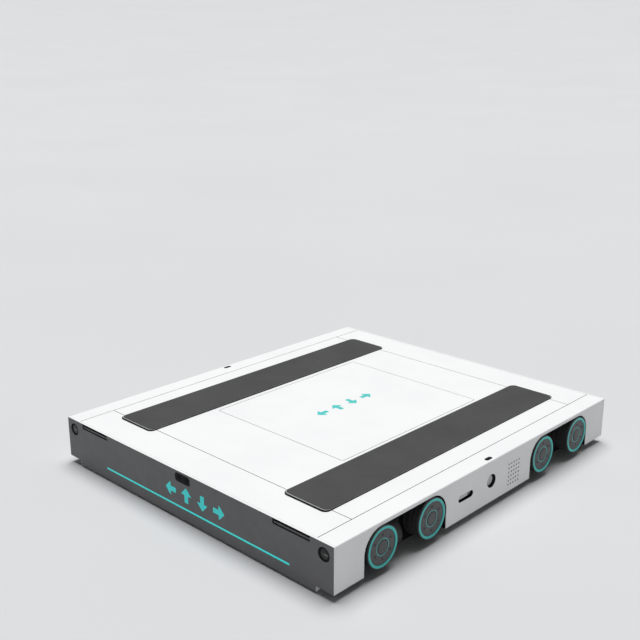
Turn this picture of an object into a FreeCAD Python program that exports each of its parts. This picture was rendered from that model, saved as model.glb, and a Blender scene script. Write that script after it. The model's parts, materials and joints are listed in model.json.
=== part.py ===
import FreeCAD, Part
import math
import operator
import os
from types import SimpleNamespace

import Sketcher
from FreeCAD import Placement, Rotation, Vector

# Four-way shuttle robot: a flat pallet carrier that runs along or across a rack.
# X is across, Y is along with the front at -Y, Z is up, and the floor is at Z = 0.
# It stands on its four cross-travel wheels, with the lift pads down.

# Driving dimensions in millimetres.
SIZES = {
    # overall body
    "body_length": 1140,
    "body_width": 1000,
    "panel_height": 114,
    "belly_drop": 13,
    "floor_gap": 6,
    # shells
    "side_width": 53,
    "skin": 6,
    "tray_wall": 6,
    "tray_floor": 6,
    "deck_thick": 5,
    "panel_thick": 6,
    "end_cover_depth": 113,
    "rib_thick": 8,
    "rib_rail": 22,
    "well_rib": 5,
    "seam": 1,
    # fits
    "running_fit": 0.05,
    "free_gap": 0.3,
    # travel wheels and their wells
    "outer_wheel_inset": 154,
    "wheel_pitch": 175,
    "wheel_width": 40,
    "wheel_proud": 3,
    "wheel_chamfer": 3,
    "wheel_face": 6,
    "well_head": 10,
    "well_corner": 55,
    "well_side_gap": 7.5,
    "well_top_gap": 2,
    # stub axles and bearings
    "axle_radius": 10,
    "axle_flange_radius": 28,
    "axle_flange": 6,
    "axle_shoulder_radius": 14,
    "axle_seat": 1.5,
    "nut_radius": 16,
    "nut_thick": 9,
    "thread_end": 2,
    "bearing_radius": 21,
    "bearing_width": 12,
    "bearing_spacing": 18.5,
    # driven axle, belt and motor
    "shaft_radius": 12,
    "shaft_hole_gap": 2,
    "flange_bearing_radius": 28,
    "flange_bearing_width": 9,
    "travel_centres": 121,
    "axle_pulley_radius": 30,
    "travel_pulley_radius": 18,
    "pulley_width": 20,
    "pulley_flange": 1.5,
    "pulley_lip": 2,
    "pulley_clearance": 14,
    "belt_thick": 3,
    "belt_side_gap": 0.5,
    "travel_motor_radius": 42,
    "travel_motor_length": 145,
    "travel_motor_foot": 60,
    "motor_gap": 15,
    "motor_shaft_radius": 8,
    "motor_shaft_depth": 20,
    # lift pads and frame
    "pad_width": 138,
    "pad_inset": 59,
    "pad_overhang": 20.5,
    "pad_thick": 4,
    "pad_corner": 15,
    "pad_chamfer": 0.8,
    "bar_inset": 14,
    "bar_end_inset": 39.5,
    "bar_depth": 12,
    "slot_gap": 2,
    "web_thick": 8,
    "yoke_width": 40,
    "yoke_depth": 12,
    "lift_travel": 30,
    "yoke_head_gap": 2,
    "yoke_side_gap": 10,
    # lift columns, screws, belt and motor
    "column_setback": 61,
    "column_flange": 80,
    "column_plate": 2,
    "column_post": 8,
    "column_top_gap": 17,
    "column_shelf": 8,
    "column_wall": 7,
    "nut_tube_radius": 17,
    "nut_tube_bore": 12,
    "nut_length": 24,
    "nut_tube_gap": 2,
    "screw_radius": 10,
    "screw_pivot_radius": 6,
    "screw_pulley_radius": 24,
    "lift_pulley_radius": 20,
    "lift_pulley_width": 12,
    "post_head_gap": 4,
    "lift_motor_offset": 24,
    "lift_motor_radius": 36,
    "lift_motor_height": 72,
    "lift_motor_plate": 6,
    # cross-travel carriers
    "carrier_travel": 26,
    "cross_inset": 17,
    "cross_wheel_width": 36,
    "cross_wheel_chamfer": 3,
    "cross_pulley_radius": 20,
    "cross_pulley_width": 13,
    "fork_plate": 7,
    "fork_wall": 6,
    "fork_head_gap": 4,
    "fork_wheel_gap": 3,
    "fork_side_gap": 3,
    "fork_reach": 22,
    "fork_foot": 15,
    "fork_end": 8,
    "fork_end_gap": 2,
    "fork_belt_gap": 2.7,
    "tray_cut_gap": 5,
    "pin_radius": 8,
    "beam_width": 30,
    "beam_depth": 18,
    "beam_head_gap": 5,
    "guide_inset": 36,
    "actuator_inset": 140,
    "actuator_radius": 16,
    "actuator_top_gap": 10,
    "rod_radius": 9,
    "rod_foot": 12,
    # cross-travel drive
    "cross_centres": 215,
    "cross_motor_gap": 5,
    "cross_motor_length": 66,
    "cross_motor_pulley_radius": 12,
    "cross_shaft_radius": 6,
    "motor_plate_half": 37,
    "shelf_depth": 6,
    # access hatch
    "hatch_margin": 15.5,
    "hatch_front": 254,
    "hatch_rear": 305,
    "hatch_thick": 3,
    "hatch_ledge": 12,
    "hatch_corner": 6,
    # end panels
    "range_inset": 30,
    "range_window_drop": 29,
    "range_window_radius": 17,
    "range_body_radius": 16,
    "range_body_length": 36,
    "range_recess": 4,
    "collar_radius": 21,
    "collar_thick": 8,
    "contact_inner_inset": 186,
    "contact_outer_inset": 70,
    "contact_top": 2,
    "contact_height": 13.5,
    "contact_corner": 3,
    "contact_border": 3,
    "contact_bar_drop": 5,
    "contact_bar_height": 4.5,
    "contact_thick": 3,
    "vision_half": 28.5,
    "vision_top": 7,
    "vision_height": 18.5,
    "vision_corner": 8,
    "vision_recess": 1.5,
    "vision_body_half": 40,
    "vision_body_depth": 44,
    "vision_body_height": 29,
    "light_left_inset": 176,
    "light_right_inset": 133,
    "light_rise": 15,
    "light_height": 6,
    "light_recess": 0.4,
    # right side features
    "mid_offset": 4,
    "pallet_eye_width": 10,
    "pallet_eye_length": 23,
    "pallet_eye_gap": 0.5,
    "pallet_skin_gap": 0.5,
    "pallet_button_gap": 5,
    "pallet_recess": 1,
    "pallet_collar_border": 1.5,
    "port_offset": 6.75,
    "port_drop": 1.5,
    "port_length": 60,
    "port_height": 17,
    "port_depth": 8,
    "port_body_depth": 16,
    "port_border": 8,
    "button_raise": 0.5,
    "button_radius": 16,
    "button_recess": 4,
    "button_length": 18,
    "button_hole_radius": 18,
    "button_wall": 6,
    "button_travel": 3,
    "button_back_gap": 3,
    "grille_offset": 2.25,
    "grille_drop": 9.75,
    "grille_hole_radius": 2.5,
    "grille_pitch": 11.4,
    "grille_length": 48,
    "grille_height": 60,
    "cone_radius": 40,
    "speaker_radius": 44,
    "speaker_depth": 20,
    "speaker_recess": 4,
    # inner equipment
    "battery_side_gap": 44,
    "battery_front_gap": 40,
    "battery_top_gap": 4,
    "box_wall_gap": 6,
    "box_mid_gap": 60,
    "box_side_gap": 87,
    "box_height": 95,
    "reader_x": 110,
    "reader_size": 56,
    "reader_height": 54,
    "reader_lens_radius": 18,
    "reader_hole_radius": 20,
}

SIGNS = {"+": operator.add, "-": operator.sub, "*": operator.mul, "/": operator.truediv}

# Directions that a turned piece can point in, from its own X axis.
AIMS = {
    "+x": Rotation(),
    "-x": Rotation(Vector(0, 0, 1), 180),
    "+y": Rotation(Vector(0, 0, 1), 90),
    "-y": Rotation(Vector(0, 0, 1), -90),
    "+z": Rotation(Vector(0, 1, 0), -90),
}

# Directions that a round bar runs in, from its own Z axis.
BARS = {
    "x": Rotation(Vector(0, 1, 0), 90),
    "y": Rotation(Vector(1, 0, 0), -90),
    "z": Rotation(),
}


class Size:
    """A length that carries its number and the sheet formula that gives it."""

    def __init__(self, value, formula):
        self.value = value
        self.formula = formula

    def __add__(self, other):
        return combine(self, "+", other)

    def __radd__(self, other):
        return combine(other, "+", self)

    def __sub__(self, other):
        return combine(self, "-", other)

    def __rsub__(self, other):
        return combine(other, "-", self)

    def __mul__(self, other):
        return combine(self, "*", other)

    def __rmul__(self, other):
        return combine(other, "*", self)

    def __truediv__(self, other):
        return combine(self, "/", other)

    def __neg__(self):
        return combine(0, "-", self)


def as_size(item):
    """Return the item as a Size, whether it is one already or a plain number."""
    return item if isinstance(item, Size) else Size(item, repr(item))


def combine(left, sign, right):
    """Return the Size that one sum, difference, product or quotient gives."""
    left = as_size(left)
    right = as_size(right)
    return Size(SIGNS[sign](left.value, right.value), f"({left.formula} {sign} {right.formula})")


def make_sheet():
    """Write the driving dimensions to the sheet and return them by name."""
    sheet = doc.addObject("Spreadsheet::Sheet", "Dims")
    for row, (name, value) in enumerate(SIZES.items(), start=1):
        sheet.set(f"A{row}", name)
        sheet.set(f"B{row}", str(value))
        sheet.setAlias(f"B{row}", name)
    doc.recompute()
    return SimpleNamespace(**{name: Size(float(sheet.get(name)), f"Dims.{name}") for name in SIZES})


def bind(item, path, size):
    """Bind one property of an object to a size."""
    item.setExpression(path, as_size(size).formula)


def both(size):
    """Return the limits of a span that is centred on zero."""
    return (-size, size)


def around(centre, half):
    """Return the limits of a span that is centred on a place."""
    return (centre - half, centre + half)


def spaced(length, pitch):
    """Return the places, centred on zero, of as many equal steps as fit a length."""
    steps = int(length.value / pitch.value)
    return [pitch * (step - steps / 2) for step in range(steps + 1)]


def box(x, y, z):
    """Return a block between three pairs of limits."""
    item = doc.addObject("Part::Box", "Block")
    for axis, side, (low, high) in zip("xyz", ("Length", "Width", "Height"), (x, y, z)):
        bind(item, f"Placement.Base.{axis}", low)
        bind(item, side, high - low)
    return item


def bar(axis, radius, span, centre):
    """Return a round bar along an axis; centre holds its two other coordinates in order."""
    item = doc.addObject("Part::Cylinder", "Bar")
    item.Placement = Placement(Vector(), BARS[axis])
    bind(item, "Radius", radius)
    bind(item, "Height", span[1] - span[0])
    place = list(centre)
    place.insert("xyz".index(axis), span[0])
    for name, size in zip("xyz", place):
        bind(item, f"Placement.Base.{name}", size)
    return item


def group(*items):
    """Return separate solids as one object."""
    item = doc.addObject("Part::Compound", "Group")
    item.Links = list(items)
    return item


def fuse(*items):
    """Return the union of the items."""
    item = doc.addObject("Part::MultiFuse", "Union")
    item.Shapes = list(items)
    item.Refine = True
    return item


def cut(base, *tools):
    """Return the base less every tool."""
    item = doc.addObject("Part::Cut", "Cut")
    item.Base = base
    item.Tool = tools[0] if len(tools) == 1 else fuse(*tools)
    item.Refine = True
    return item


def placed(item, x=0, y=0, z=0, aim="+x"):
    """Return a copy of the item that is moved to a point and aimed along an axis."""
    copy = group(item)
    copy.Placement = Placement(Vector(), AIMS[aim])
    for axis, size in zip("xyz", (x, y, z)):
        bind(copy, f"Placement.Base.{axis}", size)
    return copy


def half_turn(item):
    """Return a copy of the item turned half way round the vertical middle line."""
    return placed(item, aim="-x")


def rounded(axis, first, second, depth, radius):
    """Return a block along an axis whose four long edges are round."""
    order = {"x": "yz", "y": "xz", "z": "xy"}[axis]
    spans = {axis: depth}
    pieces = []
    for trim in order:
        for name, span in zip(order, (first, second)):
            spans[name] = (span[0] + radius, span[1] - radius) if name == trim else span
        pieces.append(box(spans["x"], spans["y"], spans["z"]))
    for u in (first[0] + radius, first[1] - radius):
        for v in (second[0] + radius, second[1] - radius):
            pieces.append(bar(axis, radius, depth, (u, v)))
    return fuse(*pieces)


def stadium(axis, first, second, depth):
    """Return a slot along an axis with fully round ends; its first span is the long one."""
    radius = (second[1] - second[0]) / 2
    middle = (second[0] + second[1]) / 2
    spans = {axis: depth}
    order = {"x": "yz", "y": "xz"}[axis]
    spans[order[0]] = (first[0] + radius, first[1] - radius)
    spans[order[1]] = second
    ends = [bar(axis, radius, depth, (end, middle)) for end in spans[order[0]]]
    return fuse(box(spans["x"], spans["y"], spans["z"]), *ends)


def new_sketch(body, role):
    """Return a sketch on one of the body's own origin planes."""
    sketch = body.newObject("Sketcher::SketchObject", "Outline")
    plane = next(item for item in body.Origin.OriginFeatures if item.Role == role)
    sketch.AttachmentSupport = [(plane, "")]
    sketch.MapMode = "FlatFace"
    return sketch


def draw(sketch, points):
    """Draw a closed outline of straight lines and tie each corner to its sizes."""
    count = len(points)
    corners = [Vector(as_size(u).value, as_size(v).value, 0) for u, v in points]
    for index in range(count):
        sketch.addGeometry(Part.LineSegment(corners[index], corners[(index + 1) % count]), False)
    for index in range(count):
        sketch.addConstraint(Sketcher.Constraint("Coincident", index, 2, (index + 1) % count, 1))
    for index, point in enumerate(points):
        for kind, axis, size in zip(("DistanceX", "DistanceY"), (-2, -1), point):
            if isinstance(size, Size):
                row = sketch.addConstraint(Sketcher.Constraint(kind, -1, 1, index, 1, size.value))
                bind(sketch, f"Constraints[{row}]", size)
            else:
                sketch.addConstraint(Sketcher.Constraint("PointOnObject", index, 1, axis))


def turned(points):
    """Return a body turned about its own X axis from points of (place along, radius)."""
    body = doc.addObject("PartDesign::Body", "Turned")
    sketch = new_sketch(body, "XZ_Plane")
    draw(sketch, points)
    feature = body.newObject("PartDesign::Revolution", "Turn")
    feature.Profile = sketch
    feature.ReferenceAxis = (sketch, ["H_Axis"])
    feature.Angle = 360
    return body


def plate(length, width, thick, corner, chamfer=None):
    """Return a flat plate with round corners and, if wanted, a chamfered top edge."""
    body = doc.addObject("PartDesign::Body", "Plate")
    sketch = new_sketch(body, "XY_Plane")
    draw(sketch, [(0, 0), (length, 0), (length, width), (0, width)])
    pad = body.newObject("PartDesign::Pad", "Thickness")
    pad.Profile = sketch
    bind(pad, "Length", thick)
    doc.recompute()
    upright = [f"Edge{number}" for number, edge in enumerate(pad.Shape.Edges, start=1)
               if abs(edge.tangentAt(edge.FirstParameter).z) > 0.9]
    round_off = body.newObject("PartDesign::Fillet", "Corners")
    round_off.Base = (pad, upright)
    bind(round_off, "Radius", corner)
    if chamfer is not None:
        doc.recompute()
        solid = round_off.Shape
        rim = [f"Edge{number}" for number, edge in enumerate(solid.Edges, start=1)
               if edge.BoundBox.ZMin > solid.BoundBox.ZMax - thick.value / 2]
        bevel = body.newObject("PartDesign::Chamfer", "Rim")
        bevel.Base = (round_off, rim)
        bind(bevel, "Size", chamfer)
    return body


def pulley(radius, bore, width):
    """Return a flanged belt pulley along its own X axis."""
    lip = radius + d.pulley_lip
    far = width - d.pulley_flange
    return turned([(0, bore), (0, lip), (d.pulley_flange, lip), (d.pulley_flange, radius),
                   (far, radius), (far, lip), (width, lip), (width, bore)])


def loop_wire(circles, grow):
    """Return the outline of a tight loop round circles of (u, v, radius), listed anticlockwise."""
    count = len(circles)
    normals = []
    for (u, v, radius), (next_u, next_v, next_radius) in zip(circles, circles[1:] + circles[:1]):
        reach = math.hypot(next_u - u, next_v - v)
        lean = math.asin((radius - next_radius) / reach)
        normals.append(math.atan2(next_v - v, next_u - u) - math.pi / 2 + lean)
    edges = []
    for index, (u, v, radius) in enumerate(circles):
        start = normals[index - 1]
        turn = (normals[index] - start) % (2 * math.pi)
        points = [Vector(u + (radius + grow) * math.cos(start + turn * share),
                         v + (radius + grow) * math.sin(start + turn * share), 0) for share in (0, 0.5, 1)]
        edges.append(Part.Arc(*points).toShape())
    runs = []
    for index in range(count):
        start = edges[index].Vertexes[-1].Point
        end = edges[(index + 1) % count].Vertexes[0].Point
        runs += [edges[index], Part.LineSegment(start, end).toShape()]
    return Part.Wire(runs)


def belt(circles, width, place):
    """Return a flat belt round circles of sizes (u, v, radius), laid in the plane of a placement."""
    numbers = [tuple(as_size(size).value for size in circle) for circle in circles]
    inner = loop_wire(numbers, d.free_gap.value)
    outer = loop_wire(numbers, (d.free_gap + d.belt_thick).value)
    reach = Vector(0, 0, as_size(width).value)
    item = doc.addObject("Part::Feature", "Belt")
    item.Shape = Part.Face(outer).extrude(reach).cut(Part.Face(inner).extrude(reach))
    item.Placement = place
    return item


def node(label, item):
    """Name one sub-part and keep it for the export."""
    item.Label = label
    nodes[label] = item
    return item


def base_tray():
    """Add the open steel tray that carries everything between the side beams."""
    inner_x = tray_x - d.tray_wall
    shell = cut(box(both(tray_x), both(tray_y), (belly, deck_under)),
                box(both(inner_x), both(tray_y - d.tray_wall), (tray_top, deck_under)))
    ribs = []
    holes = []
    for end in (-1, 1):
        rib_y = around(end * seam_y, d.rib_thick / 2)
        ribs.append(box(both(inner_x), rib_y, (tray_top, deck_under)))
        window = (tray_top + d.rib_rail, deck_under - d.rib_rail)
        for side in (-1, 1):
            holes.append(box(around(side * inner_x / 2, inner_x / 2 - d.rib_rail), rib_y, window))
            fork_x = around(side * (tray_x - fork_cut / 2), fork_cut / 2)
            fork_y = around(end * (fork_in + fork_out) / 2, (fork_out - fork_in) / 2 + d.tray_cut_gap)
            holes.append(box(fork_x, fork_y, (belly, deck_under)))
            wall = around(side * (tray_x - d.tray_wall / 2), d.tray_wall / 2)
            holes.append(bar("x", d.axle_radius, wall, (end * outer_wheel_y, wheel_z)))
        holes.append(box(both(d.vision_body_half + d.free_gap),
                         around(end * (tray_y - d.tray_wall / 2), d.tray_wall / 2),
                         (vision_floor - d.free_gap, deck_under)))
    for side in (-1, 1):
        wall = around(side * (tray_x - d.tray_wall / 2), d.tray_wall / 2)
        holes.append(bar("x", d.axle_radius, wall, (-inner_wheel_y, wheel_z)))
        holes.append(bar("x", d.shaft_radius + d.shaft_hole_gap, wall, (inner_wheel_y, wheel_z)))
    holes.append(bar("z", d.reader_hole_radius, (belly, tray_top), (-d.reader_x, travel_y)))
    node("base_tray", cut(fuse(shell, *ribs), *holes))


def eye_slot(half, depth):
    """Return an upright slot with round ends, of a half width, about the right pallet sensor."""
    reach = (d.pallet_eye_length - d.pallet_eye_width) / 2
    ends = [bar("z", half, depth, (pallet_x, d.mid_offset + step)) for step in both(reach)]
    return fuse(box(around(pallet_x, half), around(d.mid_offset, reach), depth), *ends)


def plain_side_beam():
    """Return a side beam, with its two wheel wells, as it stands on the right."""
    skin_x = (half_width - d.skin, half_width)
    pieces = [box(skin_x, both(tray_y), (side_bottom, top)),
              box((tray_x + d.seam / 2, half_width), both(tray_y), (deck_under, top))]
    wells = []
    for end in (-1, 1):
        for face in (end * (well_near - d.well_rib / 2), end * (well_far + d.well_rib / 2)):
            pieces.append(box((tray_x, half_width), around(face, d.well_rib / 2), (side_bottom, deck_under)))
        well_y = around(end * (well_near + well_far) / 2, (well_far - well_near) / 2)
        well_z = (side_bottom - d.well_corner, top - d.well_head)
        wells.append(rounded("x", well_y, well_z, skin_x, d.well_corner))
    wells.append(eye_slot(d.pallet_eye_width / 2, (deck_under, top)))
    return cut(fuse(*pieces), *wells)


def side_beams():
    """Add both side beams; the right one also holds the port, the button and the grille."""
    beam = plain_side_beam()
    skin_x = (half_width - d.skin, half_width)
    port = stadium("x", around(port_mid, d.port_length / 2),
                   around(port_z, d.port_height / 2), skin_x)
    button = bar("x", d.button_hole_radius, skin_x, (d.mid_offset, button_z))
    grille = [bar("x", d.grille_hole_radius, skin_x, (grille_mid + along, grille_z + up))
              for along in spaced(d.grille_length, d.grille_pitch)
              for up in spaced(d.grille_height, d.grille_pitch)]
    node("side_beam_right", cut(beam, port, button, *grille))
    node("side_beam_left", half_turn(beam))


def covers():
    """Add the deck cover with its two lift slots, the hatch in it and the two end covers."""
    cover_x = both(tray_x - d.seam / 2)
    hatch_y = (-d.hatch_front, d.hatch_rear)
    seat = tuple(limit + step for limit, step in zip(hatch_y, both(d.seam)))
    mouth = tuple(limit - step for limit, step in zip(hatch_y, both(d.hatch_ledge)))
    tools = [box(both(hatch_half + d.seam), seat, (top - d.hatch_thick, top)),
             box(both(hatch_half - d.hatch_ledge), mouth, (deck_under, top))]
    for side in (-1, 1):
        tools.append(box(around(side * lift_x, bar_half + d.slot_gap),
                         both(bar_end + d.slot_gap), (deck_under, top)))
    node("deck_cover", cut(box(cover_x, both(seam_y - d.seam / 2), (deck_under, top)), *tools))
    hatch = plate(2 * hatch_half, d.hatch_front + d.hatch_rear, d.hatch_thick, d.hatch_corner)
    node("access_hatch", placed(hatch, -hatch_half, -d.hatch_front, top - d.hatch_thick))
    front = box(cover_x, (-(tray_y - d.seam / 2), -(seam_y + d.seam / 2)), (deck_under, top))
    node("front_end_cover", group(front))
    node("rear_end_cover", half_turn(front))


def end_panels():
    """Add the two dark end panels with the pieces that sit in their openings."""
    panel_y = (-half_length, -tray_y)
    body = fuse(box(both(half_width), panel_y, (side_bottom, top)),
                box(both(tray_x + d.seam), panel_y, (belly, side_bottom)))
    light_x = (d.light_left_inset - half_width, half_width - d.light_right_inset)
    light_z = (light_bottom, light_bottom + d.light_height)
    openings = [stadium("y", light_x, light_z, panel_y),
                rounded("y", both(d.vision_half), vision_z, panel_y, d.vision_corner)]
    contacts = []
    ranges = []
    for side in (-1, 1):
        middle = side * (half_width - (d.contact_inner_inset + d.contact_outer_inset) / 2)
        half = (d.contact_inner_inset - d.contact_outer_inset) / 2
        openings.append(rounded("y", around(middle, half), contact_z, panel_y, d.contact_corner))
        bar_top = contact_z[1] - d.contact_bar_drop
        contacts.append(box(around(middle, half - d.contact_border),
                            (-(tray_y + d.contact_thick), -tray_y),
                            (bar_top - d.contact_bar_height, bar_top)))
        eye = (side * (half_width - d.range_inset), range_z)
        openings.append(bar("y", d.range_window_radius, panel_y, eye))
        front = -(half_length - d.range_recess)
        barrel = bar("y", d.range_body_radius, (front, front + d.range_body_length), eye)
        ranges.append(fuse(barrel, bar("y", d.collar_radius, (-tray_y, -tray_y + d.collar_thick), eye)))
    panel = cut(body, *openings)
    node("front_panel", panel)
    node("rear_panel", half_turn(panel))

    light = stadium("y", light_x, light_z, (-(half_length - d.light_recess), -tray_y))
    node("light_bars", group(light, half_turn(light)))

    lens = rounded("y", both(d.vision_half), vision_z, (-(half_length - d.vision_recess), -tray_y),
                   d.vision_corner)
    casing = box(both(d.vision_body_half), (-tray_y, -tray_y + d.vision_body_depth),
                 (vision_floor, vision_floor + d.vision_body_height))
    vision = fuse(lens, casing)
    node("vision_sensors", group(vision, half_turn(vision)))

    node("contact_bars", group(*contacts, *(half_turn(item) for item in contacts)))
    node("range_sensors", group(*ranges, *(half_turn(item) for item in ranges)))


def pallet_sensors():
    """Add the two sensors that look up through the side beams."""
    barrel_z = (button_z + housing_radius + d.pallet_button_gap, top - d.pallet_recess)
    barrel = eye_slot(d.pallet_eye_width / 2 - d.pallet_eye_gap, barrel_z)
    collar = eye_slot(d.pallet_eye_width / 2 + d.pallet_collar_border,
                      (deck_under - d.collar_thick, deck_under))
    sensor = fuse(barrel, collar)
    node("pallet_sensors", group(sensor, half_turn(sensor)))


def side_equipment():
    """Add the charge port, the power button and the speaker behind the right skin."""
    inside = half_width - d.skin
    port_y = around(port_mid, d.port_length / 2)
    port_span = around(port_z, d.port_height / 2)
    casing = box((inside - d.port_body_depth, inside),
                 around(port_mid, d.port_length / 2 + d.port_border),
                 around(port_z, d.port_height / 2 + d.port_border))
    pocket = stadium("x", port_y, port_span, (inside - d.port_depth, inside))
    node("charge_port", cut(casing, pocket))

    place = (d.mid_offset, button_z)
    face = half_width - d.button_recess
    back = face - d.button_length
    well_floor = back - d.button_travel - d.button_back_gap
    node("power_button", group(bar("x", d.button_radius, (back, face), place)))
    cup = bar("x", housing_radius, (well_floor - d.button_wall, inside), place)
    bore = bar("x", d.button_radius + d.free_gap, (well_floor, inside), place)
    node("button_housing", cut(cup, bore))

    place = (grille_mid, grille_z)
    drum = bar("x", d.speaker_radius, (inside - d.speaker_depth, inside), place)
    cone = bar("x", d.cone_radius, (inside - d.speaker_recess, inside), place)
    node("speaker", cut(drum, cone))


def wheel(bore):
    """Return a travel wheel along its own X axis, closed at its outer face."""
    rim = wheel_radius - d.wheel_chamfer
    depth = d.wheel_width - d.wheel_face
    return turned([(0, bore), (0, rim), (d.wheel_chamfer, wheel_radius),
                   (d.wheel_width - d.wheel_chamfer, wheel_radius), (d.wheel_width, rim),
                   (d.wheel_width, 0), (depth, 0), (depth, bore)])


def travel_wheels():
    """Add the eight travel wheels, numbered from the front: six run free, two sit on the drive axle."""
    root = d.tray_wall + d.nut_thick + d.thread_end
    flange = root + d.axle_flange
    seat = root + wheel_in - tray_x + d.axle_seat
    tip = seat + d.bearing_spacing + d.bearing_width
    stub = turned([(0, 0), (0, d.axle_radius), (root, d.axle_radius), (root, d.axle_flange_radius),
                   (flange, d.axle_flange_radius), (flange, d.axle_shoulder_radius),
                   (seat, d.axle_shoulder_radius), (seat, d.axle_radius), (tip, d.axle_radius), (tip, 0)])
    ring = turned([(0, d.axle_radius), (0, d.bearing_radius), (d.bearing_width, d.bearing_radius),
                   (d.bearing_width, d.axle_radius)])
    nut = cut(hexagon(d.nut_radius, d.nut_thick), bar("x", d.axle_radius, (0, d.nut_thick), (0, 0)))
    free_wheel = wheel(d.bearing_radius + d.running_fit)
    driven_wheel = wheel(d.shaft_radius)

    stubs = []
    rings = []
    nuts = []
    places = (("1", -outer_wheel_y, False), ("2", -inner_wheel_y, False),
              ("3", inner_wheel_y, True), ("4", outer_wheel_y, False))
    for side, aim, sign in (("right", "+x", 1), ("left", "-x", -1)):
        for number, y, driven in places:
            spot = {"y": y, "z": wheel_z, "aim": aim}
            model = driven_wheel if driven else free_wheel
            node(f"travel_wheel_{side}_{number}", placed(model, sign * wheel_in, **spot))
            if driven:
                continue
            stubs.append(placed(stub, sign * (tray_x - root), **spot))
            nuts.append(placed(nut, sign * (tray_x - d.tray_wall - d.nut_thick), **spot))
            inner_ring = wheel_in + d.axle_seat
            for start in (inner_ring, inner_ring + d.bearing_spacing):
                rings.append(placed(ring, sign * start, **spot))
        flange_ring = cut(bar("x", d.flange_bearing_radius, (0, d.flange_bearing_width), (0, 0)),
                          bar("x", d.shaft_radius + d.running_fit, (0, d.flange_bearing_width), (0, 0)))
        rings.append(placed(flange_ring, sign * tray_x, inner_wheel_y, wheel_z, aim))
    node("stub_axles", group(*stubs))
    node("axle_nuts", group(*nuts))
    node("wheel_bearings", group(*rings))


def hexagon(radius, thick):
    """Return a hexagonal block along X that starts at the origin."""
    prism = doc.addObject("Part::Prism", "Hexagon")
    prism.Polygon = 6
    bind(prism, "Circumradius", radius)
    bind(prism, "Height", thick)
    prism.Placement = Placement(Vector(), BARS["x"])
    return prism


def travel_drive():
    """Add the drive axle, its motor, the belt between them and the motor's pulley."""
    shaft = bar("x", d.shaft_radius, both(wheel_out - d.wheel_face), (inner_wheel_y, wheel_z))
    gear = placed(pulley(d.axle_pulley_radius, d.shaft_radius, d.pulley_width),
                  pulley_x, inner_wheel_y, wheel_z)
    node("drive_axle", fuse(shaft, gear))

    motor_x = (pulley_x - d.motor_gap - d.travel_motor_length, pulley_x - d.motor_gap)
    spindle = bar("x", d.motor_shaft_radius, (motor_x[1] - d.motor_shaft_depth, pulley_x + d.pulley_width),
                  (travel_y, wheel_z))
    small = placed(pulley(d.travel_pulley_radius, d.motor_shaft_radius, d.pulley_width),
                   pulley_x, travel_y, wheel_z)
    node("travel_pulley", fuse(spindle, small))

    casing = bar("x", d.travel_motor_radius, motor_x, (travel_y, wheel_z))
    foot = box(around((motor_x[0] + motor_x[1]) / 2, d.travel_motor_length / 3),
               around(travel_y, d.travel_motor_foot / 2), (tray_top, wheel_z))
    bore = bar("x", d.motor_shaft_radius + d.running_fit,
               (motor_x[1] - d.motor_shaft_depth - d.free_gap, motor_x[1]), (travel_y, wheel_z))
    node("travel_motor", cut(fuse(casing, foot), bore))

    circles = [(travel_y, wheel_z, d.travel_pulley_radius), (inner_wheel_y, wheel_z, d.axle_pulley_radius)]
    rim = d.pulley_flange + d.belt_side_gap
    turn = Rotation(Vector(0, 1, 0), Vector(0, 0, 1), Vector(1, 0, 0), "ZXY")
    place = Placement(Vector((pulley_x + rim).value, 0, 0), turn)
    node("travel_belt", belt(circles, d.pulley_width - 2 * rim, place))


def lift_columns():
    """Add the four guide columns that the lift tubes slide in."""
    half = d.column_flange / 2
    post = d.column_post
    columns = []
    for x, y in screw_places:
        pieces = [box(around(x, half), around(y, half), (tray_top, tray_top + d.column_plate)),
                  box(around(x, half), around(y, half), (shelf_z, shelf_z + d.column_shelf)),
                  bar("z", d.nut_tube_radius + d.column_wall, (shelf_z, column_top), (x, y))]
        for across in (-1, 1):
            for along in (-1, 1):
                pieces.append(box(around(x + across * (half - post / 2), post / 2),
                                  around(y + along * (half - post / 2), post / 2), (tray_top, shelf_z)))
        pivot = bar("z", d.screw_pivot_radius + d.running_fit, (tray_top, tray_top + d.column_plate), (x, y))
        bore = bar("z", d.nut_tube_radius + d.free_gap, (shelf_z, column_top), (x, y))
        columns.append(cut(fuse(*pieces), pivot, bore))
    node("lift_columns", group(*columns))


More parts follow.
